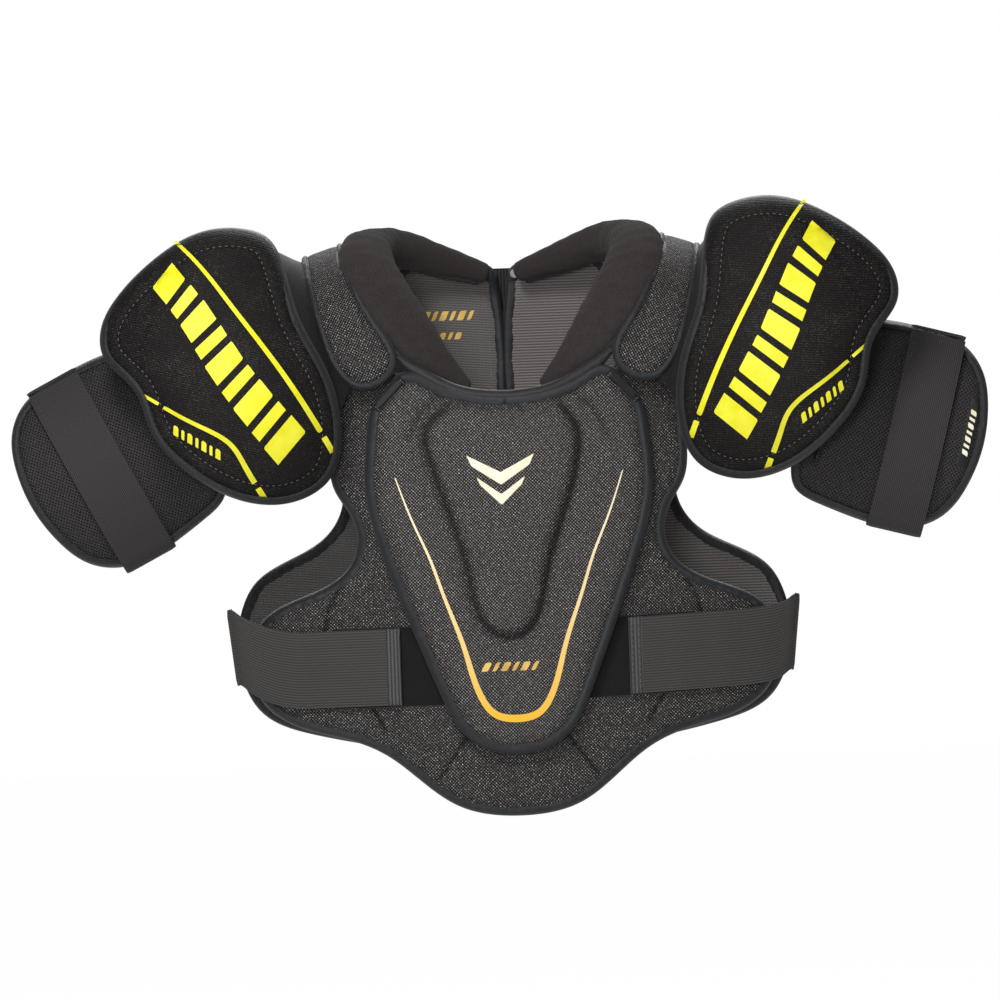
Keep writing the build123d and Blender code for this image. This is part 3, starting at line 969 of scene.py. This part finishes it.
def waist_patch(side, x0, x1, margin=0.0):
    """The slanted outline of a patch along the waist strap, wider than the strap by margin each side."""
    half = WAIST_WIDTH / 2 + margin
    low, high = waist_mid(x0, side), waist_mid(x1, side)
    corners = [(x0, low - half), (x1, high - half), (x1, high + half), (x0, low + half), (x0, low - half)]
    return resample(np.array(flipped(corners, side), float), 2.5, closed=True)


def chest():
    surface = torso(-1)

    def front(u, v, d):
        return 5 + 6.2 * rolled(d, 10) + 0.25 * ripple(u, v, 46) - 2.2 * groove(u, v, CHEST_SEAMS, 1.7)

    def back(u, v, d):
        return 5 - 5.8 * rolled(d, 10)

    def shade(u, v, d):
        return 0.8 * groove(u, v, CHEST_SEAMS, 1.2)

    def pressed(u, v):
        under = [spline(SHIELD, 3.0)] + [waist_patch(side, 44, 170) for side in (1, -1)]
        return np.max([ease(signed_inside(u, v, outline), -6, 0) for outline in under], axis=0)

    piece = pad("chest_pad", inner_outline(CHEST), surface, front, back, [MESH, PLAIN_LINER], CHEST_SEAMS,
                shade=shade, swell=1.4, pressed=pressed)
    put(piece, "chest", ("chest_foam", "chest_cover"))
    edging("chest", "chest", CHEST, surface, middle=4.6, depth=11.6, width=8.4)
    piece = tape("neckline_piping", mirrored(NECK_HALF), surface, 13.0, 8.5, 8.8, TAPE,
                 start=-1.2, closed=False)
    put(piece, "chest")
    for name, side in SIDES:
        slab(f"{name}_loop_patch", "chest", waist_patch(side, 44, 124, 1.5), surface,
             9.5, 12.1, FUZZ, ("waist_loop_patches",), spacing=5)


# ---- Sternum shield -----------------------------------------------------------------------
SHIELD = mirrored(SHIELD_HALF)
SHIELD_BASE, SHIELD_TOP = 12.6, 10.2  # heights: its underside, and its face above that
BOSS_RISE = 6.3
PLATE_TOP, PLATE_INSET = 21.7, 10.5  # the face is at least this high, this far in, to cover the plate
BOSS = [
    (-36, -84), (-40, -102), (-56, -119), (-57, -131), (-53, -146), (-44, -174), (-34.5, -203),
    (-28, -235), (-20, -255), (-3, -264), (13, -256), (22, -232), (28, -207), (40.5, -171),
    (48, -142), (47.5, -120), (36, -102), (33, -84),
]
TRIM_HALF = [
    (77.5, -152), (66, -184), (55, -210), (48, -231), (34, -271), (24, -303), (15, -315), (0, -318.5),
]
SHIELD_CREASES = [flipped([(44, -97), (58, -108), (68, -126)], side) for side in (1, -1)]
CORNER_TAB = [(68.2, -87), (71.8, -83.4), (91.6, -103.4), (88, -107), (68.2, -87)]
TAB_BASE, TAB_FACE = 20.5, 24.2


def chevron(x, z, w, t):
    """A broad V with square-cut ends, w wide each side of x and t thick."""
    cut, inner, outer = 0.45 * t, z - 12, z - 16 - 0.6 * t
    return [(x - w, z), (x - w + cut, z - t), (x, outer), (x + w - cut, z - t), (x + w, z), (x, inner)]


def shield():
    surface = torso(-1)
    edge = inner_outline(SHIELD)
    boss = spline(BOSS, 3.0)

    def height(u, v):
        d = signed_inside(u, v, edge)
        inside = signed_inside(u, v, boss)
        raised = ease(inside, -0.5, 7.0) + 0.14 * ease(inside, 7, 30)
        top = SHIELD_BASE + SHIELD_TOP * rolled(np.maximum(d, 0), 12) ** 0.9 + 0.9 * ease(d, 8, 30)
        foot = bell(inside, -1.0, 2.6) * ease(d, 4, 12)
        sewn = np.maximum(2.0 * foot, 1.6 * groove(u, v, SHIELD_CREASES, 3.2))
        top = top + BOSS_RISE * raised * ease(d, 0, 12) - sewn + 0.2 * ripple(u, v, 38, 1.0)
        return np.where(d > PLATE_INSET, np.maximum(top, PLATE_TOP), top)

    def shade(u, v, d):
        foot = bell(signed_inside(u, v, boss), 0.8, 3.4) * ease(d, 4, 10)
        rim = 0.5 * (1 - ease(d, 3, 15))
        return np.maximum(np.maximum(0.85 * foot, rim), 0.6 * groove(u, v, SHIELD_CREASES, 2.4))

    piece = pad("shield_pad", edge, surface, lambda u, v, d: height(u, v),
                lambda u, v, d: SHIELD_BASE + 0 * u, [SHIELD_MESH, PLAIN_LINER],
                SHIELD_CREASES + [boss[::4]], spacing=3.2, shade=shade, swell=1.0)
    put(piece, "shield", ("shield_foam", "shield_cover", "sternum_boss"))
    edging("shield", "shield", SHIELD, surface, middle=17.3, depth=9.8, width=8.6)

    face = resting(piece, surface, height)
    trim = strip(spline(mirrored(TRIM_HALF), 2.0, closed=False), (0.8, 2.4, 5.2, 2.4, 0.8))
    printed("shield_trim", "shield", [trim], surface, face, TRIM)
    marks = [chevron(-5.5, -139, 23, 7.5), chevron(-5.5, -154, 16.56, 5.4)]
    printed("shield_chevrons", "shield", marks, surface, face, CREAM)
    marks = bars((-3, -283), 6, 6.6, 4.6, 6.0, 1.6)
    printed("shield_bars", "shield", marks, surface, face, GOLD)

    for name, side in SIDES:
        tab = resample(np.array(flipped(CORNER_TAB, side), float), 2.0, closed=True)
        slab(f"{name}_corner_tab", "shield", tab, surface, TAB_BASE, TAB_FACE, TAPE_DARK,
             ("shield_corner_tabs",), spacing=3)
        for x, z in ((71.2, -86.4), (88.6, -104)):
            line = resample(np.array(flipped([(x - 2, z - 2), (x + 2, z + 2)], side), float), 1.0)
            sew(f"{name}_tab_stitches_{int(x)}", "shield", line, surface, TAB_FACE + 0.05, THREAD,
                length=1.6, gap=0.5)


# ---- Back halves --------------------------------------------------------------------------
BACK_SEAMS = [
    [(12, -214), (34, -211), (70, -204), (114, -186)], [(34, -12), (31, -60), (31, -140), (34, -209)],
    [(34, -213), (44, -250), (58, -290), (84, -332)], [(36, -120), (70, -128), (114, -150)],
]
LINER_FACE = -1.3  # the height of the back halves' inner face


def back_half(name, side, liner):
    surface = torso(1)
    outline = flipped(BACK, side)
    seams = [flipped(line, side) for line in BACK_SEAMS]

    def front(u, v, d):
        return 5 + 5.6 * rolled(d, 9) + 0.25 * ripple(u, v, 50, 2.0) - 2.6 * groove(u, v, seams, 2.0)

    def back(u, v, d):
        return 5 - 6.2 * rolled(d, 9) + 0.15 * ripple(u, v, 40, 3.0)

    def shade(u, v, d):
        return 0.8 * groove(u, v, seams, 1.3)

    piece = pad(f"{name}_back_pad", inner_outline(outline), surface, front, back, [MESH, liner], seams,
                spacing=5, shade=shade, swell=1.8)
    layers = [f"{name}_back_{layer}" for layer in ("foam", "cover", "liner")]
    put(piece, "harness", layers)
    edging(f"{name}_back", "harness", outline, surface, middle=4.9, depth=12.4, width=9.6)
    inside = inset_line(spline(outline, 2.0), 11.2)
    sew(f"{name}_liner_stitches", "harness", inside, surface, LINER_FACE, THREAD, below=True,
        length=2.2, gap=2.2, closed=True)


def back_centre():
    surface = torso(1)
    slab("spine_elastic", "harness", box_outline(-9.6, -337, 9.6, -9), surface, 11.6, 13.0,
         GUSSET, ("spine_gusset",))

    def from_inside(u, v, t):
        return surface(u, v, 2 * LINER_FACE - t)

    marks = bars((-38, -41), 6, 6.2, 4.6, 6.5, 1.4) + bars((-37, -55), 3, 5.5, 4.0, 5, 1.0)
    printed("liner_bars", "harness", marks, from_inside, lambda u, v: LINER_FACE - 0.05 + 0 * u,
            GOLD)


# ---- Yokes and collar ---------------------------------------------------------------------
def yoke(name, side):
    surface = yoke_surface(side)
    outline = yoke_outline()

    def front(u, v, d):
        return 4.8 + 4.4 * rolled(d, 8) + 0.2 * ripple(u, v, 30, 4.0)

    def back(u, v, d):
        return 4.8 - 4.2 * rolled(d, 8)

    piece = pad(f"{name}_yoke_pad", inner_outline(outline), surface, front, back,
                [MESH, PLAIN_LINER], swell=1.0)
    put(piece, "harness", (f"{name}_yoke_foam", f"{name}_yoke_cover"))
    edging(f"{name}_yoke", "harness", outline, surface, middle=4.9, depth=9.4, width=6.2)


# Collar stations, front end to back: middle (x, y, z), the way to its outer edge, and thickness.
COLLAR = [
    ((27, -70.5, -92), (4, -3.5, -2), 3.5), ((41, -69.5, -80), (9, -7, -3.5), 6.5),
    ((58, -68.5, -63), (14, -12, -5), 9.5), ((74, -61, -42.5), (17, -17, -4), 12),
    ((88, -47, -20), (19, -17, -2), 13.5), ((93, -20, -2), (18.5, -11, 2), 14.5),
    ((88.5, 10, 4.5), (17, 4, 1), 15), ((76, 31, 6), (10, 10, -4), 13.5),
    ((60, 43, 3), (4, 9, -8.5), 11), ((44, 51, -2), (1, 6, -9.5), 9.5),
    ((29, 57, -6.5), (0, 4, -8.5), 8), ((13, 60, -12), (0, 3, -6.5), 6.5),
]
COLLAR_SPLIT, PIPING_RISE = 0.66, 0.6


def collar(name, side):
    """The fleece roll in two lengths that meet at a fold behind the shoulder, and its piping."""
    table = np.array([[*c, *w, t] for c, w, t in COLLAR], float)
    table[:, [0, 3]] *= side
    fine = spline(table, 2.6, closed=False)
    split = int(len(fine) * COLLAR_SPLIT)
    for length, rows, node in (("collar_fleece", fine[:split + 2], "collar_roll"),
                               ("collar_rear_fleece", fine[split - 3:], "collar_rear_pad")):
        put(loft(f"{name}_{length}", rows, FLEECE), "harness", (f"{name}_{node}",))
    centre, out = fine[:, :3], fine[:, 3:6]
    size = np.linalg.norm(out, axis=1)[:, None]
    line = centre + out / size * (size + PIPING_RISE)
    route = spline(line[::4], 2.5, closed=False)[::3]
    put(tube(f"{name}_collar_piping", route, lambda share: 2.9 - 0.6 * share, TAPE), "harness")


def loft(name, rows, material):
    """A soft roll through stations, pinched closed at both ends."""
    sides, ends, bulge, uneven = 30, 6, 0.7, 0.012
    centre, out, thick = rows[:, :3], rows[:, 3:6], rows[:, 6]
    tangent = unit(np.gradient(centre, axis=0))
    out = out - tangent * np.sum(out * tangent, 1)[:, None]
    up = unit(np.cross(tangent, out))
    n, along = len(rows), lengths(centre)
    points, cloth = [], []
    for r in range(-ends, n + ends):
        i = min(max(r, 0), n - 1)
        past = -r if r < 0 else max(0, r - n + 1)
        shrink = cos(pi / 2 * min(past / ends, 0.985))
        push = thick[i] * bulge * sin(pi / 2 * past / ends) * (-1 if r < 0 else 1)
        for k in range(sides):
            a = tau * k / sides
            x, y = squared(cos(a), 0.85), squared(sin(a), 0.85)
            wobble = 1 + uneven * sin(along[i] * 0.21 + 2 * a) + uneven * sin(along[i] * 0.47 - a)
            around = (out[i] * x + up[i] * thick[i] * y) * shrink * wobble
            points.append(centre[i] + tangent[i] * push + around)
            # The third value is painted shade, darker towards the pinched ends.
            cloth.append((along[i] + push, a * 12, 0.5 * (1 - shrink)))
    return make(name, points, ring_faces(n + 2 * ends, sides), cloth, [material])


# ---- Waist straps -------------------------------------------------------------------------
def waist_strap(name, side):
    surface, strap = torso(-1), f"{name}_waist_strap"
    reach = TORSO_R + 15  # the band's middle lies 15 above the torso's surface
    points = [
        (side * x, TORSO_R - TORSO_HALF_DEPTH - np.sqrt(reach ** 2 - x ** 2), waist_mid(x, side))
        for x in np.linspace(WAIST_TAB_X, 184, 12)
    ]
    high = waist_mid(192, side)
    points += [(side * 189.6, -46.2, high), (side * 192.2, -38, high)]
    points += [(side * 192.5, y, high) for y in (-22, 0, 24, 47.5)]
    line = spline(points, 2.5, closed=False)
    lean = 0.11 * (1 - ease(-line[:, 1], 44, 66))  # the band leans out as it goes round the side
    across = unit(np.stack([side * lean, 0 * lean, 1 + 0 * lean], 1))
    piece = ribbon(f"{name}_waist_elastic", line, across, WAIST_WIDTH, ELASTIC,
                   lambda s, w: 0.12 * np.sin(s * 0.21) + 0.1 * np.sin(s * 0.09 + w * 0.05))
    blend = ("harness", strap, (0, -0.043, 0), (0, -0.0515, 0))
    put(piece, blend, (strap, f"{name}_waist_side_strap"))
    field = waist_patch(side, WAIST_TAB_X + 4, WAIST_TAB_X + 36, -4)
    slab(f"{name}_waist_hook_field", strap, field, surface, 12.7, 14.1, HOOK,
         (f"{name}_waist_hook",))
    hem = waist_patch(side, WAIST_TAB_X - 0.3, WAIST_TAB_X + 9.5, 0.2)

    def hem_face(u, v, d):
        return WAIST_FACE - 0.5 * (1 - rolled(d, 1.5))

    piece = pad(f"{name}_waist_hem", hem, surface, hem_face, lambda u, v, d: 13.8 + 0 * u, [HEM], spacing=3)
    put(piece, strap)
    for k, inset in enumerate((2.0, 6.8)):
        x = WAIST_TAB_X + inset
        column = np.array([(side * x, waist_mid(x, side) + z) for z in np.arange(-24.5, 24.6, 1.0)])
        sew(f"{name}_hem_stitches_{k}", strap, column, surface, WAIST_FACE, THREAD_DARK)


# ---- Arms ---------------------------------------------------------------------------------
LONG_LINE = [(77.6, 71.6), (66.1, 56.2), (46.9, 22.9), (27.6, -12.5), (8.6, -52), (-5.4, -87)]
SHORT_LINE = [
    (119.5, -24.7), (108.8, -33.4), (95.9, -44.1), (81.7, -54.6), (70.3, -62.6), (63.1, -69.2),
    (59.4, -74.7), (55.6, -84.3), (51.1, -96.6), (45.4, -110.4),
]
BAND_LINE = [(19, -84), (30.4, -65), (46, -38), (61, -7), (74.4, 24), (86, 44), (95, 60)]
CAP_MIDDLE, GUARD_MIDDLE = -5, -5.5  # the heights of their edges, between front and back
CAP_SEAM, SEAM_GAP = 11.5, 0.8  # how far inside its edge a cap is sewn, and half the print's gap there


def cap_blocks():
    """The wide and narrow blocks along a cap's band, which narrows towards its top."""
    middle = spline(BAND_LINE, 1.0, closed=False)
    normals, last = side_normals(middle), len(middle) - 1
    lean, gap, long_block, short_block, least_left = 5, 5, 15, 8, 9
    blocks, at, wide = [], 2, True
    while at < last - least_left:
        end = min(at + (long_block if wide else short_block), last)
        half = np.interp(at, (0, last + 1), (14.5, 9.5))
        a, b = min(at + lean, last), min(end + lean, last)
        blocks.append([middle[at] - normals[at] * half, middle[end] - normals[end] * half,
                       middle[b] + normals[b] * half, middle[a] + normals[a] * half])
        at, wide = end + gap, not wide
    return blocks


def cap(name, arm):
    side, body, surface = arm["side"], f"{name}_cap", cap_surface(arm)
    edge = inner_outline(CAP)
    long_line, short_line = (spline(p, 2.0, closed=False) for p in (LONG_LINE, SHORT_LINE))
    panel = np.vstack([long_line, short_line[::-1]])

    def height(u, v):
        d = signed_inside(u, v, edge)
        raised = ease(signed_inside(u, v, panel), -2, 3)
        top = CAP_MIDDLE + 4.55 * rolled(np.maximum(d, 0), 9) + 1.0 * ease(d, 13, 30)
        top = top + 1.2 * raised * ease(d, 10, 20)
        return top - 0.8 * bell(d, CAP_SEAM, 1.7) + 0.3 * ripple(u, v, 42, side) * ease(d, 9, 20)

    def shade(u, v, d):
        return 0.7 * bell(d, CAP_SEAM, 1.3) + 0.45 * bell(signed_inside(u, v, panel), -2.5, 1.6)

    seam = inset_line(edge, CAP_SEAM)
    piece = pad(f"{name}_cap_pad", edge, surface, lambda u, v, d: height(u, v),
                lambda u, v, d: CAP_MIDDLE - 4.6 * rolled(d, 9), [KNIT, PLAIN_LINER], [seam[::3]],
                shade=shade, swell=0.8)
    face = resting(piece, surface, height)
    put(piece, body, (f"{name}_cap_foam", f"{name}_cap_cover"))
    edging(f"{name}_cap", body, CAP, surface, middle=-5.0, depth=10.2, width=6.4, sunk=3.6)
    sew(f"{name}_cap_top_stitches", body, seam, surface, lambda u, v: face(u, v) + 0.05, THREAD,
        length=2.4, gap=1.9, radius=0.24, closed=True)

    stripes = []
    for line, widths in ((long_line, (2.4, 3.2, 4.0)), (short_line, (2.0, 3.0, 4.0))):
        from_seam = np.abs(line_distance(line, edge) - CAP_SEAM)
        whole = strip(line, widths)
        for part in np.split(np.arange(len(line)), np.where(np.diff(from_seam > SEAM_GAP))[0] + 1):
            if len(part) > 1 and abs(line_distance(line[part], edge).mean() - CAP_SEAM) > SEAM_GAP:
                ring = 2 * len(line) - 1 - part
                stripes.append(np.vstack([whole[part], whole[ring[::-1]]]))
    small = bars((84, -66), 7, 5.4, 3.8, 6.0, 1.5, turn=38)
    for print_name, shapes in (("lines", stripes), ("blocks", cap_blocks()), ("bars", small)):
        printed(f"{name}_cap_{print_name}", body, shapes, surface, face, YELLOW)


def guard(name, arm):
    side, body, surface = arm["side"], f"{name}_guard", guard_surface(arm)
    edge = inner_outline(GUARD)

    def height(u, v):
        d = signed_inside(u, v, edge)
        top = GUARD_MIDDLE + 5.2 * rolled(np.maximum(d, 0), 9) + 0.7 * ease(d, 9, 22)
        return top + 0.2 * ripple(u, v, 36, 5 + side)

    piece = pad(f"{name}_guard_pad", edge, surface, lambda u, v, d: height(u, v),
                lambda u, v, d: GUARD_MIDDLE - 4.8 * rolled(d, 9), [AIR, PLAIN_LINER],
                spacing=4.5, swell=0.9)
    put(piece, body, (f"{name}_guard_foam", f"{name}_guard_cover"))
    edging(f"{name}_guard", body, GUARD, surface, middle=-5.2, depth=10.8, width=6.8)
    if name == "left":
        face = resting(piece, surface, height)
        tag = pad(f"{name}_guard_tag", box_outline(37.5, -18, 45.5, 30, 1.0), surface,
                  lambda u, v, d: face(u, v) + 0.5, lambda u, v, d: face(u, v) - 0.4,
                  [TAPE_DARK], spacing=3)
        put(tag, body)
        marks = bars((41.5, 6), 7, 4.6, 3.2, 4.2, 0.8, turn=90)
        printed(f"{name}_tag_bars", body, marks, surface, lambda u, v: face(u, v) + 0.5,
                CREAM)


def arm_strap(name, arm):
    side, slid, strap = arm["side"], arm["slid"], f"{name}_arm_strap"
    c, s = cos(radians(arm["droop"])), sin(radians(arm["droop"]))
    out = GUARD_REACH + slid

    def world(y, z):
        return (side * (arm["guard"][0] + out * c + z * s), y, arm["guard"][1] - out * s + z * c)

    points = []
    for a in np.linspace(86, -84, 22):
        high = LOOP_R - 7.0 * ease(a, 10, 60) - 6.0 * ease(-a, 20, 70)
        points.append(world(LOOP_AXIS_Y + LOOP_R * cos(radians(a)), high * sin(radians(a))))
    for v in np.linspace(-66, 66, 18):
        points.append(world(GUARD_AXIS_Y - np.sqrt((GUARD_R + ARM_STRAP_RISE) ** 2 - v * v), v))
    line = spline(points, 2.5, closed=False)
    across = np.tile((side * c, 0.0, -s), (len(line), 1))
    piece = ribbon(f"{name}_arm_elastic", line, across, ARM_STRAP_WIDTH, ARM_ELASTIC,
                   lambda t, w: 0.1 * np.sin(t * 0.17) + 0.08 * np.sin(t * 0.07 + w * 0.08))
    blend = (f"{name}_guard", strap, (0, -0.0545, 0), (0, -0.0600, 0))
    put(piece, blend, (strap, f"{name}_arm_loop"))
    surface = guard_surface(arm, slid)
    slab(f"{name}_arm_hook_field", strap, box_outline(-15, 34, 15, 62), surface, 1.5, 2.9,
         HOOK, (f"{name}_arm_hook",))
    box = box_outline(-15.5, 36, 15.5, 62, 1.0)
    box = resample(np.vstack([box, box[:1]]), 1.2, closed=True)
    sew(f"{name}_arm_box_stitches", strap, box, surface, 4.85, THREAD_DARK, closed=True)


# ---- Webs that carry the caps and guards --------------------------------------------------
def web(name, near, far, blend):
    """A closed thin panel of knit between two lines, each given as (outline, surface, height)."""
    thick, rows, n, cell = 1.6, 12, 40, (2.5, 3.0)
    lines = ((spline(line, 2.5, closed=False), *where) for line, *where in (near, far))
    a, b = (evenly(on_surface(*line)[0], n) for line in lines)
    grid = np.stack([a + (b - a) * k / rows for k in range(rows + 1)])
    normal = np.cross(np.gradient(grid, axis=1), np.gradient(grid, axis=0))
    normal /= np.linalg.norm(normal, axis=2)[:, :, None] + 1e-9
    points = np.vstack([(grid + normal * off).reshape(-1, 3) for off in (thick / 2, -thick / 2)])
    m = rows + 1
    i, j = np.meshgrid(np.arange(m), np.arange(n), indexing="ij")
    cloth = np.tile(np.stack([j.ravel() * cell[0], i.ravel() * cell[1]], 1), (2, 1))
    faces, half = [], m * n
    for r in range(rows):
        for k in range(n - 1):
            q = (r * n + k, r * n + k + 1, (r + 1) * n + k + 1, (r + 1) * n + k)
            faces += [q, tuple(half + x for x in reversed(q))]
    rim = list(range(n)) + [r * n + n - 1 for r in range(1, m)]
    rim += [rows * n + k for k in reversed(range(n - 1))] + [r * n for r in reversed(range(1, rows))]
    for a, b in zip(rim, rim[1:] + rim[:1]):
        faces.append((b, a, half + a, half + b))
    put(make(name, points, faces, cloth, [KNIT]), blend)


def webs(name, arm):
    outer = yoke_outline()[:4]
    outer.append((outer[3][0] - 3, outer[3][1] - 5))
    yoke_line = [(u - 3.0, v) for u, v in reversed(outer)] + [(-5.2, 0.0), (-5.2, 20.0)]
    cap_inner = [(-11, -66), (-9, -46), (-5, -26), (5, 5), (11, 44), (18, 58)]
    web(f"{name}_shoulder_web",
        (yoke_line, yoke_surface(arm["side"]), 5.0), (cap_inner, cap_surface(arm), -7.5),
        ("harness", f"{name}_cap", (0, -0.075, 0), (0, -0.112, 0)))
    cap_outer = [(130, 12), (115, -24), (108, -54), (86, -84)]
    guard_line = [(-62, 46), (-64, 12), (-64, -14), (-56, -48)]
    web(f"{name}_elbow_web", (cap_outer, cap_surface(arm), -8.0), (guard_line, guard_surface(arm), -6.0),
        (f"{name}_cap", f"{name}_guard", (0, -0.112, 0), (0, -0.088, 0)))


# ---- The whole object ---------------------------------------------------------------------
chest()
shield()
back_centre()
finishes = {"back_snap": STEEL, "sternum_plate": PLASTIC}
for arm_name, arm_data in ARMS.items():
    arm_side = arm_data["side"]
    back_half(arm_name, arm_side, RIBBED_LINER if arm_name == "left" else PLAIN_LINER)
    yoke(arm_name, arm_side)
    collar(arm_name, arm_side)
    waist_strap(arm_name, arm_side)
    cap(arm_name, arm_data)
    guard(arm_name, arm_data)
    arm_strap(arm_name, arm_data)
    webs(arm_name, arm_data)
    finishes[f"{arm_name}_cap_shell"] = finishes[f"{arm_name}_guard_plate"] = PLASTIC

for node, finish in finishes.items():
    node_materials = frame["nodes"][node].data.materials
    node_materials.clear()
    node_materials.append(finish)


# ---- Floor, light and camera --------------------------------------------------------------
FLOOR_SIZE, FLOOR_Z = 24, -0.62
AMBIENT = 0.2
AIM = (0, -0.06, -0.16)
LAMPS = (  # name, place, watts, size
    ("key", (-0.35, -1.15, 0.8), 12, 0.4),
    ("front", (-0.3, -3.2, 0.1), 34, 0.6),
    ("rim", (0.4, 1.9, 1.7), 24, 1.2),
    ("back", (-0.3, 2.6, 1.0), 16, 1.6),
)
EYE, ROLL, LENS, SENSOR, FAR = (-0.0066, -8.0, -0.1699), 2.0, 419, 36, 40


def seen_directly(tree, output, shader, share):
    """Shows plain white to the eye by that share, and leaves the light that reaches the object alone."""
    path = tree.nodes.new("ShaderNodeLightPath")
    amount = tree.nodes.new("ShaderNodeMath")
    amount.operation = "MULTIPLY"
    amount.inputs[1].default_value = share
    tree.links.new(path.outputs["Is Camera Ray"], amount.inputs[0])
    kind = "Emission" if output.startswith("Material") else "Background"
    white = tree.nodes.new("ShaderNode" + kind)
    white.inputs["Color"].default_value = (1, 1, 1, 1)
    mixed(tree, output, amount.outputs[0], shader, white.outputs[0])


def mixed(tree, output, share, shader, other):
    both = tree.nodes.new("ShaderNodeMixShader")
    for socket, source in zip(both.inputs, (share, shader, other)):
        tree.links.new(source, socket)
    tree.links.new(both.outputs[0], tree.nodes[output].inputs["Surface"])


def studio():
    scene = bpy.context.scene
    bpy.ops.mesh.primitive_plane_add(size=FLOOR_SIZE, location=(0, 0, FLOOR_Z))
    floor = bpy.context.object
    floor.name = "floor"
    white = Finish("pale_floor", Roughness=0.9, Specular_IOR_Level=0.1)
    white.shader.inputs["Base Color"].default_value = (0.9, 0.9, 0.9, 1)
    seen_directly(white.tree, "Material Output", white.shader.outputs[0], 0.99)
    # The floor is clear from below, so it never hides the underside.
    shader = white.tree.nodes["Material Output"].inputs["Surface"].links[0].from_socket
    below = white.tree.nodes.new("ShaderNodeNewGeometry").outputs["Backfacing"]
    clear = white.tree.nodes.new("ShaderNodeBsdfTransparent").outputs[0]
    mixed(white.tree, "Material Output", below, shader, clear)
    floor.data.materials.append(white.material)

    world = bpy.data.worlds.new("studio")
    scene.world = world
    world.use_nodes = True
    sky = world.node_tree.nodes["Background"]
    sky.inputs["Color"].default_value = (1, 1, 1, 1)
    sky.inputs["Strength"].default_value = AMBIENT
    seen_directly(world.node_tree, "World Output", sky.outputs[0], 1.0)

    for name, where, power, size in LAMPS:
        lamp = bpy.data.lights.new(name, "AREA")
        lamp.energy, lamp.size = power, size
        holder = bpy.data.objects.new(name, lamp)
        scene.collection.objects.link(holder)
        holder.location = where
        holder.rotation_euler = (Vector(AIM) - Vector(where)).to_track_quat("-Z", "Y").to_euler()
        holder.visible_camera = False

    data = bpy.data.cameras.new("camera")
    data.sensor_width, data.lens, data.clip_end = SENSOR, LENS, FAR
    eye = bpy.data.objects.new("camera", data)
    scene.collection.objects.link(eye)
    eye.location = EYE
    eye.rotation_euler = (radians(90), radians(ROLL), 0)
    scene.camera = eye
    scene.view_settings.view_transform = "Standard"


studio()
